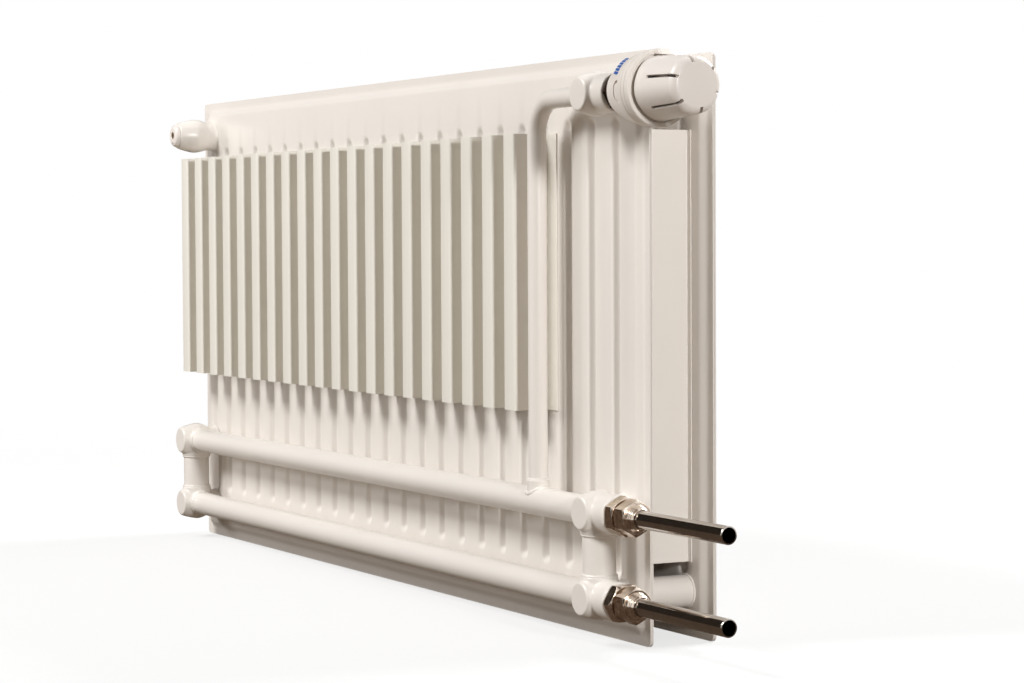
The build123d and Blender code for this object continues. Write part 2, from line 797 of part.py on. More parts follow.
cap_start = flange_end + limit_ring_width + cap_gap
cap_inner_base = cap_base_radius - cap_wall
cap_inner_end = cap_end_radius - cap_wall
cap_floor = cap_end - cap_wall
with BuildPart() as head_cap:
    with BuildSketch(lengthwise(valve_z)):
        with BuildLine():
            Polyline(
                (cap_end, cap_face_radius),
                (cap_end, 0),
                (cap_floor, 0),
                (cap_floor, cap_face_radius - cap_wall),
                (cap_shoulder, cap_inner_end),
                (cap_start + cap_bearing, cap_inner_base),
                (cap_start + cap_bearing, guide_outer + slide_fit),
                (cap_start, guide_outer + slide_fit),
                (cap_start, cap_base_radius),
                (cap_shoulder, cap_end_radius),
            )
            ThreePointArc(
                (cap_shoulder, cap_end_radius),
                (cap_round, cap_round_radius),
                (cap_end, cap_face_radius),
            )
        make_face()
    revolve(axis=pipe_axis(valve_z))
    with BuildSketch(outward(cap_floor - cap_hub_depth, valve_z)):
        Circle(cap_hub_radius)
        Circle(capsule_tail_radius + slide_fit, mode=Mode.SUBTRACT)
    extrude(amount=cap_hub_depth)
    slot_depth = flange_radius - cap_slot_floor
    with BuildSketch(outward(cap_slot_start, valve_z)):
        with PolarLocations(cap_slot_floor + slot_depth / 2, cap_slots, start_angle=cap_slot_turn):
            Rectangle(slot_depth, cap_slot_width)
    extrude(amount=cap_end - cap_slot_start, mode=Mode.SUBTRACT)
head_cap.part.label = "head_cap"
export_step(head_cap.part, "parts/head_cap.step")
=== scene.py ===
"""Looks of a double-panel heating radiator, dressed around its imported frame.

Sizes are millimetres until a mesh is made. Every place is read from the frame's nodes.
"""

import logging
import math
import random
from dataclasses import dataclass
from enum import Enum
from functools import cache
from typing import Callable, Iterable, Sequence

import bmesh
import bpy
from mathutils import Matrix, Vector


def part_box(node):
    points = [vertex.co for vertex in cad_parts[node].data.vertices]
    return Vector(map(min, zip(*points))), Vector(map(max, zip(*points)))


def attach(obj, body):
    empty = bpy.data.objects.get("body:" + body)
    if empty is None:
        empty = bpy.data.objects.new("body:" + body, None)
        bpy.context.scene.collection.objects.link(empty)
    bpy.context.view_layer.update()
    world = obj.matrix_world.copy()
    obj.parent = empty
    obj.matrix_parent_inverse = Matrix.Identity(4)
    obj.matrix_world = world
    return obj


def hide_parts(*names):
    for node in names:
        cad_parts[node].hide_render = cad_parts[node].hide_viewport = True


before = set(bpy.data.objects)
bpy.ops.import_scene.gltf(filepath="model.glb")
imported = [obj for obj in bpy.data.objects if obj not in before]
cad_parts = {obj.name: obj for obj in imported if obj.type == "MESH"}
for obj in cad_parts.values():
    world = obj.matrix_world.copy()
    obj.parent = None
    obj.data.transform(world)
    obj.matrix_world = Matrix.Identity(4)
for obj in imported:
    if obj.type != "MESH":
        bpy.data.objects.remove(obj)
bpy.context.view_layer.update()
MM = 0.001
SHARP_DEGREES = 32.0
NOISE_SPAN = (0.3, 0.7)
BEAD_POINTS, BEAD_SIDES = 120, 10
BEAD_UNEVENNESS, BEAD_RIPPLE, POINTS_PER_RIPPLE = 0.06, 0.07, 5
OUT, FAR = Vector((-1, 0, 0)), Vector((1, 0, 0))
WALLWARD, UP = Vector((0, 1, 0)), Vector((0, 0, 1))
log = logging.getLogger("radiator")

Colour = tuple[float, float, float]
Profile = Sequence[tuple[float, float]]
Piece = bpy.types.Object
Socket = bpy.types.NodeSocket


class Slot(Enum):
    """The record's material slots."""

    ENAMEL = "enamel"
    HEAD_WHITE = "head_white"
    VENT_WHITE = "vent_white"
    NICKEL = "nickel"
    CHROME_TUBE = "chrome_tube"
    BRASS = "brass"
    STEEL = "steel"
    CAPSULE = "capsule"
    RUBBER = "rubber"


class Body(Enum):
    """The bodies that pieces ride on."""

    RADIATOR = "radiator"
    CAP = "cap"
    BLEED = "bleed"


class Wall(Enum):
    """Which way a pressed sheet bulges from its panel's seam."""

    TO_WALL = 1
    TO_ROOM = -1


# Materials


class NodeBench:
    """A bench for wiring the node tree of a material or a world."""

    def __init__(self, owner: bpy.types.ID, empty: bool = False) -> None:
        """Opens the node tree.

        Args:
            owner: The material or world.
            empty: Whether its first nodes are thrown away.
        """
        owner.use_nodes = True
        self.tree = owner.node_tree
        if empty:
            self.tree.nodes.clear()

    @property
    def shader(self) -> bpy.types.Node:
        """The material's Principled shader."""
        return self.tree.nodes["Principled BSDF"]

    def wire(self, node: bpy.types.Node, inputs: dict[str | int, object]) -> None:
        """Sets inputs of a node.

        Args:
            node: The node.
            inputs: A constant or another node's socket for each input.
        """
        for key, value in inputs.items():
            if isinstance(value, Socket):
                self.tree.links.new(value, node.inputs[key])
            else:
                node.inputs[key].default_value = value

    def add(self, kind: str, inputs: dict[str | int, object], **settings: object) -> bpy.types.Node:
        """Adds a node.

        Args:
            kind: The end of the node's Blender type.
            inputs: A constant or another node's socket for each input.
            **settings: Properties of the node.

        Returns:
            The new node.
        """
        node = self.tree.nodes.new(f"ShaderNode{kind}")
        for key, value in settings.items():
            setattr(node, key, value)
        self.wire(node, inputs)
        return node

    def noise(self, grain: float, detail: float = 2.0, stretch: Colour = (1, 1, 1)) -> Socket:
        """Noise over the object's own coordinates.

        Args:
            grain: Size of one grain, in millimetres.
            detail: Octaves of finer noise.
            stretch: How many times longer a grain is along X, Y and Z.

        Returns:
            The noise value's socket.
        """
        place = self.add("TexCoord", {}).outputs["Object"]
        scale = [1 / (grain * MM * way) for way in stretch]
        mapping = self.add("Mapping", {"Scale": scale, "Vector": place}).outputs["Vector"]
        inputs = {"Scale": 1.0, "Detail": detail, "Vector": mapping}
        return self.add("TexNoise", inputs).outputs["Fac"]

    def gloss(self, value: Socket, low: float, high: float) -> None:
        """Lets the roughness follow a noise value.

        Args:
            value: The noise value.
            low: Roughness at its low end.
            high: Roughness at its high end.
        """
        span = {"From Min": NOISE_SPAN[0], "From Max": NOISE_SPAN[1], "To Min": low, "To Max": high}
        ranged = self.add("MapRange", span | {"Value": value})
        self.wire(self.shader, {"Roughness": ranged.outputs["Result"]})

    def tint(self, value: Socket, low: Colour, high: Colour) -> None:
        """Lets the colour follow a noise value.

        Args:
            value: The noise value.
            low: Colour at its low end.
            high: Colour at its high end.
        """
        ramp = self.add("ValToRGB", {"Fac": value})
        for stop, position, colour in zip(ramp.color_ramp.elements, NOISE_SPAN, (low, high)):
            stop.position, stop.color = position, (*colour, 1.0)
        self.wire(self.shader, {"Base Color": ramp.outputs["Color"]})

    def bump(self, *layers: tuple[Socket, float]) -> None:
        """Stacks bump layers on the shader.

        Args:
            *layers: Height sockets with the height of each in millimetres.
        """
        below: dict[str | int, object] = {}
        for height, depth in layers:
            inputs = below | {"Strength": 1.0, "Distance": depth * MM, "Height": height}
            below = {"Normal": self.add("Bump", inputs).outputs["Normal"]}
        self.wire(self.shader, below)


@dataclass(frozen=True)
class Finish:
    """A material's name, the record's slot that it stands for and its colour."""

    name: str
    slot: Slot
    colour: Colour

    def shade(self, factor: float) -> Colour:
        """The colour, darkened or lightened by a factor."""
        return tuple(min(1.0, part * factor) for part in self.colour)

    def dress(self, bench: NodeBench) -> None:
        """Wires the material, in a way of its own for each kind of finish."""
        raise NotImplementedError


@dataclass(frozen=True)
class BakedEnamel(Finish):
    """Stoved enamel on steel: warm white, glossy, with a faint orange-peel skin."""

    variation: float = 0.975
    roughness: float = 0.3
    peel_grain: float = 2.6
    peel_height: float = 0.012
    cloud_grain: float = 120.0
    gloss_spread: tuple[float, float] = (-0.015, 0.02)

    def dress(self, bench: NodeBench) -> None:
        """Wires clouds of tone, patches of gloss and two sizes of peel.

        Args:
            bench: The material's bench.
        """
        bench.tint(bench.noise(self.cloud_grain, 1.0), self.shade(self.variation), self.colour)
        patch, (low, high) = bench.noise(self.cloud_grain / 3, 1.0), self.gloss_spread
        bench.gloss(patch, self.roughness + low, self.roughness + high)
        swell, peel = bench.noise(self.peel_grain * 10, 0.0), bench.noise(self.peel_grain)
        bench.bump((swell, self.peel_height * 3), (peel, self.peel_height))


@dataclass(frozen=True)
class MouldedPlastic(Finish):
    """Moulded plastic: satin, with a very fine spark-eroded grain."""

    roughness: float = 0.36
    grain: float = 0.35
    grain_height: float = 0.004
    variation: float = 0.97
    flow_grain: float = 22.0
    flow_stretch: Colour = (2.5, 1, 1)
    rubbed_grain: float = 6.0
    gloss_spread: tuple[float, float] = (-0.04, 0.06)
    ior: float = 1.5

    def dress(self, bench: NodeBench) -> None:
        """Wires the moulding's flow, rubbed patches and grain.

        Args:
            bench: The material's bench.
        """
        flow = bench.noise(self.flow_grain, 3.0, self.flow_stretch)
        bench.tint(flow, self.shade(self.variation), self.colour)
        patch, (low, high) = bench.noise(self.rubbed_grain, 4.0), self.gloss_spread
        bench.gloss(patch, self.roughness + low, self.roughness + high)
        bench.wire(bench.shader, {"IOR": self.ior})
        bench.bump((bench.noise(self.grain, 1.0), self.grain_height))


@dataclass(frozen=True)
class PlatedMetal(Finish):
    """Machined and plated metal: turning marks round the pipe axis, small dulled patches."""

    dull: Colour
    roughness: float
    mark_grain: float = 0.5
    mark_height: float = 0.004
    patch_grain: float = 3.0
    unevenness: float = 0.06
    mark_stretch: Colour = (0.4, 6, 6)

    def dress(self, bench: NodeBench) -> None:
        """Wires dulled patches, uneven polish and turning marks.

        Args:
            bench: The material's bench.
        """
        bench.tint(bench.noise(self.patch_grain, 5.0), self.dull, self.colour)
        bench.wire(bench.shader, {"Metallic": 1.0})
        patch = bench.noise(self.patch_grain * 2, 4.0)
        bench.gloss(patch, self.roughness, self.roughness + self.unevenness)
        marks = bench.noise(self.mark_grain, 2.0, self.mark_stretch)
        waves = bench.noise(self.patch_grain * 2, 1.0)
        bench.bump((waves, self.mark_height * 5), (marks, self.mark_height))


@dataclass(frozen=True)
class MouldedRubber(Finish):
    """Black rubber or fibre: matt, with a mealy skin."""

    grain: float = 0.8
    grain_height: float = 0.03
    variation: float = 1.8
    roughness: tuple[float, float] = (0.7, 0.85)

    def dress(self, bench: NodeBench) -> None:
        """Wires one mealy grain through colour, gloss and bump.

        Args:
            bench: The material's bench.
        """
        grain = bench.noise(self.grain, 4.0)
        bench.tint(grain, self.colour, self.shade(self.variation))
        bench.gloss(grain, *self.roughness)
        bench.bump((grain, self.grain_height))


@dataclass(frozen=True)
class PrintedInk(Finish):
    """Pad-printed ink: a dense colour with slightly starved patches."""

    grain: float = 0.7
    variation: float = 1.5
    roughness: float = 0.45

    def dress(self, bench: NodeBench) -> None:
        """Wires the starved patches."""
        bench.tint(bench.noise(self.grain, 3.0), self.colour, self.shade(self.variation))
        bench.wire(bench.shader, {"Roughness": self.roughness})


@cache
def material_of(finish: Finish) -> bpy.types.Material:
    """Makes a finish's material once.

    Args:
        finish: The finish.

    Returns:
        Its material.
    """
    material = bpy.data.materials.new(finish.name)
    finish.dress(NodeBench(material))
    return material


ENAMEL = BakedEnamel("baked_enamel", Slot.ENAMEL, (0.845, 0.797, 0.745))
# A greener copy of the enamel for the wall convector: a painted shade tint, giving the olive cast
# of the shade between the fins.
FIN_ENAMEL_SHADE_TINT = BakedEnamel("fin_enamel_shade_tint", Slot.ENAMEL, (0.85, 0.816, 0.745))
HEAD_PLASTIC = MouldedPlastic("head_plastic", Slot.HEAD_WHITE, (0.80, 0.745, 0.69))
CAP_PLASTIC = MouldedPlastic(
    "cap_plastic", Slot.HEAD_WHITE, (0.79, 0.735, 0.69), roughness=0.34
)
VENT_PLASTIC = MouldedPlastic("vent_plastic", Slot.VENT_WHITE, (0.84, 0.78, 0.74))
SCALE_INK = PrintedInk("scale_ink", Slot.HEAD_WHITE, (0.005, 0.065, 0.28))
NICKEL = PlatedMetal("nickel_plate", Slot.NICKEL, (0.9, 0.78, 0.67), (0.55, 0.45, 0.36), 0.12)
TUBE_CHROME = PlatedMetal(
    "tube_chrome",
    Slot.CHROME_TUBE,
    (0.6, 0.56, 0.52),
    (0.52, 0.47, 0.42),
    0.05,
    mark_grain=0.6,
    mark_height=0.001,
    patch_grain=9.0,
    unevenness=0.04,
)
# Nearly black nickel for the valve insert, gland nut and head nut: partly their own dark finish,
# partly painted shade that makes the gap between the valve body and the bell render black.
NICKEL_DARKENED_AS_SHADE = PlatedMetal(
    "nickel_darkened_as_shade", Slot.NICKEL, (0.045, 0.027, 0.019), (0.03, 0.018, 0.012), 0.45
)
BRASS = PlatedMetal("turned_brass", Slot.BRASS, (0.62, 0.45, 0.2), (0.45, 0.31, 0.13), 0.29)
STEEL = PlatedMetal("turned_steel", Slot.STEEL, (0.56, 0.56, 0.57), (0.42, 0.42, 0.42), 0.29)
CAPSULE_METAL = PlatedMetal(
    "capsule_aluminium", Slot.CAPSULE, (0.72, 0.72, 0.73), (0.6, 0.6, 0.6), 0.3
)
RUBBER = MouldedRubber("seal_rubber", Slot.RUBBER, (0.025, 0.024, 0.023))


# Mesh making


@dataclass(frozen=True)
class Place:
    """An axis in space, with the side that angles count from."""

    start: Vector
    along: Vector
    side: Vector

    def way(self, degrees: float) -> Vector:
        """The direction away from the axis at an angle."""
        turn = math.radians(degrees)
        return self.side * math.cos(turn) + self.side.cross(self.along) * math.sin(turn)

    def at(self, along: float, radius: float = 0.0, degrees: float = 0.0) -> Vector:
        """The point at a distance along the axis, a radius and an angle."""
        return self.start + self.along * along + self.way(degrees) * radius


def arc_through(
    first: tuple[float, float], middle: tuple[float, float], last: tuple[float, float], steps: int
) -> list[tuple[float, float]]:
    """Points on the arc through three points of a plane.

    Args:
        first: Start of the arc.
        middle: A point on it.
        last: Its end.
        steps: Number of chords.

    Returns:
        The points, both ends included.
    """
    a, b, c = Vector(first), Vector(middle), Vector(last)
    ab, ac = b - a, c - a
    across = 2 * (ab.x * ac.y - ab.y * ac.x)
    square_b, square_c = ab.length_squared, ac.length_squared
    x, y = ac.y * square_b - ab.y * square_c, ab.x * square_c - ac.x * square_b
    centre = a + Vector((x / across, y / across))
    radius = (a - centre).length
    start, end = (math.atan2(point.y - centre.y, point.x - centre.x) for point in (a, c))
    turn = (end - start + math.pi) % (2 * math.pi) - math.pi
    found = []
    for step in range(steps + 1):
        angle = start + turn * step / steps
        found.append((centre.x + radius * math.cos(angle), centre.y + radius * math.sin(angle)))
    return found


def linked(name: str, data: bpy.types.ID) -> Piece:
    """Puts data into the scene as a new object.

    Args:
        name: The object's name.
        data: Its mesh, lamp or camera.

    Returns:
        The object.
    """
    piece = bpy.data.objects.new(name, data)
    bpy.context.scene.collection.objects.link(piece)
    return piece


def smoothed(piece: Piece, sharp: float = SHARP_DEGREES) -> Piece:
    """Shades a piece smooth.

    Args:
        piece: The piece.
        sharp: Edges that turn more than this many degrees stay sharp.

    Returns:
        The same piece.
    """
    piece.data.shade_smooth()
    piece.data.set_sharp_from_angle(angle=math.radians(sharp))
    return piece


def publish(mesh: bmesh.types.BMesh, name: str, sharp: float = SHARP_DEGREES) -> Piece:
    """Turns a bmesh into a smoothly shaded object.

    Args:
        mesh: The finished mesh, which is freed.
        name: The object's name.
        sharp: Edges that turn more than this many degrees stay sharp.

    Returns:
        The object.
    """
    bmesh.ops.recalc_face_normals(mesh, faces=mesh.faces)
    data = bpy.data.meshes.new(name)
    mesh.to_mesh(data)
    mesh.free()
    return smoothed(linked(name, data), sharp)


def skin(
    name: str, rings: Sequence[Sequence[Vector]], closed: bool = False, sharp: float = SHARP_DEGREES
) -> Piece:
    """A solid with faces from ring to ring of points, where a ring may be a single point.

    Args:
        name: The object's name.
        rings: The rings' points, in millimetres.
        closed: Whether the last ring joins the first. If not, both are capped.
        sharp: Edges that turn more than this many degrees stay sharp.

    Returns:
        The solid.
    """
    mesh = bmesh.new()
    rows = [[mesh.verts.new(point * MM) for point in ring] for ring in rings]
    for first, second in zip(rows, rows[1:] + rows[:1] if closed else rows[1:]):
        count = max(len(first), len(second))
        for here in range(count if count > 1 else 0):
            after = (here + 1) % count
            corners = [first[here % len(first)], first[after % len(first)]]
            corners += [second[after % len(second)], second[here % len(second)]]
            mesh.faces.new(list(dict.fromkeys(corners)))
    for end in () if closed else (rows[0], rows[-1]):
        mesh.faces.new(end)
    return publish(mesh, name, sharp)


def held(profile: Profile, longest: float = 6.0, hold: float = 0.25) -> Profile:
    """Adds a point near both ends of each long straight run, so that it shades straight.

    Args:
        profile: Points of a closed outline.
        longest: Runs longer than this get the points.
        hold: How far from the run's ends they lie.

    Returns:
        The outline with the added points.
    """
    found: list[tuple[float, float]] = []
    for first, second in zip(profile, [*profile[1:], profile[0]]):
        found.append(first)
        length = math.dist(first, second)
        if length > longest and first[1] > hold and second[1] > hold:
            for share in (hold / length, 1 - hold / length):
                found.append(tuple(a + (b - a) * share for a, b in zip(first, second)))
    return found


def revolve(name: str, profile: Profile, place: Place, segments: int = 96) -> Piece:
    """Turns a closed profile round an axis.

    Args:
        name: The object's name.
        profile: Points of the distance along the axis and the radius.
        place: The axis.
        segments: Sides of the turned piece.

    Returns:
        The turned object.
    """
    turns = [360 * i / segments for i in range(segments)]
    rings = [
        [place.at(along, radius, turn) for turn in (turns if radius else turns[:1])]
        for along, radius in held(profile)
    ]
    return skin(name, rings, True)


def circle_section(radius: float, sides: int) -> list[tuple[float, float]]:
    """A round section as offsets sideways and upwards."""
    turns = [2 * math.pi * i / sides for i in range(sides)]
    return [(radius * math.cos(turn), radius * math.sin(turn)) for turn in turns]


def sweep(
    path: Sequence[Vector],
    ups: Sequence[Vector],
    section: Callable[[int], Profile],
    closed: bool = False,
) -> list[list[Vector]]:
    """Sets a section along a path.

    Args:
        path: Points of the path.
        ups: The section's upward way at each point.
        section: The section's offsets at each point's number.
        closed: Whether the path runs back to its start.

    Returns:
        A ring of points for each point of the path.
    """
    rings = []
    for i, (point, up) in enumerate(zip(path, ups)):
        before = path[i - 1] if i or closed else point
        after = path[(i + 1) % len(path)] if i + 1 < len(path) or closed else point
        forward = (after - before).normalized()
        side = forward.cross(up).normalized()
        level = side.cross(forward)
        rings.append([point + side * s + level * u for s, u in section(i)])
    return rings


def rectangle(low: tuple[float, float], high: tuple[float, float]) -> Profile:
    """The corners of a rectangle, one after another."""
    return [low, (high[0], low[1]), high, (low[0], high[1])]


def straight(start: Vector, end: Vector, steps: int) -> list[Vector]:
    """Points of a straight run."""
    return [start.lerp(end, i / steps) for i in range(steps + 1)]


def pipe(
    name: str, path: Sequence[Vector], up: Vector, radius: float, wall: float, sides: int = 72
) -> Piece:
    """A pipe with its bore, along a path.

    Args:
        name: The object's name.
        path: Points of the pipe's centre line.
        up: A way that the path never runs along.
        radius: Outer radius.
        wall: Wall thickness.
        sides: Sides of the section.

    Returns:
        The pipe.
    """

    def wall_face(reach: float) -> list[list[Vector]]:
        """The rings of the wall's face at a radius."""
        section = circle_section(reach, sides)
        return sweep(path, [up] * len(path), lambda _: section)

    return skin(name, wall_face(radius) + wall_face(radius - wall)[::-1], True)


def modified(piece: Piece, kind: str, **settings: object) -> Piece:
    """Adds a modifier to a piece.

    Args:
        piece: The piece.
        kind: The modifier's Blender type.
        **settings: Properties of the modifier.

    Returns:
        The same piece.
    """
    modifier = piece.modifiers.new(kind.lower(), kind)
    for key, value in settings.items():
        setattr(modifier, key, value)
    return piece


def evaluated(piece: Piece, name: str) -> Piece:
    """Replaces an object with one that has its modifiers applied.

    Args:
        piece: The object, which is removed.
        name: Name of the new object.

    Returns:
        The new object.
    """
    graph = bpy.context.evaluated_depsgraph_get()
    data = bpy.data.meshes.new_from_object(piece.evaluated_get(graph))
    bpy.data.objects.remove(piece)
    data.name = name
    return linked(name, data)


def joined(name: str, pieces: Iterable[Piece]) -> Piece:
    """Puts several objects' meshes into one object, and removes them.

    Args:
        name: The new object's name.
        pieces: The objects.

    Returns:
        The new object.
    """
    mesh = bmesh.new()
    for piece in pieces:
        mesh.from_mesh(piece.data)
        bpy.data.objects.remove(piece)
    return publish(mesh, name)


def melted(name: str, pieces: Sequence[Piece], grain: float, passes: int) -> Piece:
    """Melts overlapping solids into one skin with soft fillets, as forging and enamel leave them.

    Args:
        name: The new object's name.
        pieces: Closed solids that overlap.
        grain: Size of the skin's facets, in millimetres.
        passes: How many times the skin is smoothed.

    Returns:
        The melted object.
    """
    whole = modified(joined(f"{name}_parts", pieces), "REMESH", mode="VOXEL", voxel_size=grain * MM)
    made = evaluated(modified(whole, "SMOOTH", factor=0.5, iterations=passes), name)
    made.data.shade_smooth()
    return made


def cut_away(piece: Piece, cutter: Piece, name: str) -> Piece:
    """Cuts one solid out of another.

    Args:
        piece: What is cut, which is removed.
        cutter: What cuts, which is removed.
        name: Name of the result.

    Returns:
        The cut object.
    """
    modified(piece, "BOOLEAN", operation="DIFFERENCE", solver="EXACT", object=cutter)
    made = evaluated(piece, name)
    bpy.data.objects.remove(cutter)
    return smoothed(made)


def rounded_edges(piece: Piece, width: float, degrees: float, segments: int = 2) -> Piece:
    """Rounds the edges of a piece that turn more than an angle.

    Args:
        piece: The piece.
        width: Width of the rounding.
        degrees: The angle.
        segments: Facets of the rounding.

    Returns:
        The same piece.
    """
    size = {"width": width * MM, "segments": segments, "harden_normals": True}
    limit = {"limit_method": "ANGLE", "angle_limit": math.radians(degrees)}
    return modified(piece, "BEVEL", **size, **limit)


def fit(piece: Piece, finish: Finish, *nodes: str, body: Body = Body.RADIATOR) -> None:
    """Gives a piece its finish, its body and the nodes it replaces.

    Args:
        piece: The finished piece, in place.
        finish: What it is finished in.
        *nodes: Frame nodes that it stands for.
        body: The body it rides on.
    """
    piece.data.materials.clear()
    piece.data.materials.append(material_of(finish))
    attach(piece, body.value)
    if nodes:
        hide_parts(*nodes)
    log.info("%s rides on %s", piece.name, body.value)


def weld_bead(name: str, path: Sequence[Vector], ups: Sequence[Vector], radius: float) -> None:
    """A closed weld bead, its ripples softened by the enamel.

    Args:
        name: The bead's name.
        path: Points of the bead's centre line, which closes.
        ups: Away from the joint, at each point.
        radius: The bead's mean radius.
    """
    uneven = random.Random(name)
    swell = [uneven.uniform(-BEAD_UNEVENNESS, BEAD_UNEVENNESS) for _ in path]

    def section(i: int) -> Profile:
        """The bead's section at a point's number."""
        ripple = 1 + BEAD_RIPPLE * math.sin(i * 2 * math.pi / POINTS_PER_RIPPLE)
        return circle_section(radius * (ripple + (swell[i] + swell[i - 1]) / 2), BEAD_SIDES)

    fit(skin(name, sweep(path, ups, section, True), True), ENAMEL)


def ring_bead(name: str, place: Place, along: float, ring: float, radius: float) -> None:
    """A weld bead round a pipe.

    Args:
        name: The bead's name.
        place: The pipe's axis.
        along: Where the bead lies on it.
        ring: The pipe's radius.
        radius: The bead's radius.
    """
    turns = [360 * i / BEAD_POINTS for i in range(BEAD_POINTS)]
    path = [place.at(along, ring, turn) for turn in turns]
    weld_bead(name, path, [place.way(turn) for turn in turns], radius)


# Places from the frame


@dataclass(frozen=True)
class Layout:
    """Places that the sub-assemblies share, in millimetres, read from the frame."""

    panel_x: float
    front_seam_y: float
    rear_seam_y: float
    panel_width: float
    panel_height: float
    pipe_y: float
    valve_x: float
    vent_x: float
    valve_z: float
    vent_z: float
    upper_header_z: float
    lower_header_z: float
    riser_x: float
    wall_fins: tuple[float, float]
    gap_fins: tuple[float, float]

    @classmethod
    def from_frame(cls) -> "Layout":
        """Reads the layout from the frame's nodes.

        Returns:
            The layout.
        """

        def box(node: str) -> tuple[Vector, Vector, Vector]:
            """A node's lowest corner, highest corner and middle."""
            low, high = (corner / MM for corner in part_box(node))
            return low, high, (low + high) / 2

        rear_low, rear_high, _ = box("rear_panel_wall_sheet")
        header = box("header_upper")[2]
        return cls(
            panel_x=(rear_low.x + rear_high.x) / 2,
            front_seam_y=box("front_panel_room_sheet")[1].y,
            rear_seam_y=rear_low.y,
            panel_width=rear_high.x - rear_low.x,
            panel_height=rear_high.z - rear_low.z,
            pipe_y=header.y,
            valve_x=box("connector_valve")[2].x,
            vent_x=box("connector_vent")[2].x,
            valve_z=box("head_cap")[2].z,
            vent_z=box("bleed_plug")[2].z,
            upper_header_z=header.z,
            lower_header_z=box("header_lower")[2].z,
            riser_x=box("riser_collar")[2].x,
            wall_fins=tuple(corner.z for corner in box("wall_convector")[:2]),
            gap_fins=tuple(corner.z for corner in box("gap_convector")[:2]),
        )

    def on_pipes(self, x: float, z: float) -> Vector:
        """A point in the plane of the pipes."""
        return Vector((x, self.pipe_y, z))

    def outward(self, height: float) -> Place:
        """The supply-side pipe axis at a height, angles counted from the wall side upwards."""
        return Place(self.on_pipes(self.valve_x, height), OUT, WALLWARD)

    def wallward(self, x: float, height: float) -> Place:
        """An axis through the pipe plane towards the wall, angles counted from +X upwards."""
        return Place(self.on_pipes(x, height), WALLWARD, FAR)


# Sub-assemblies


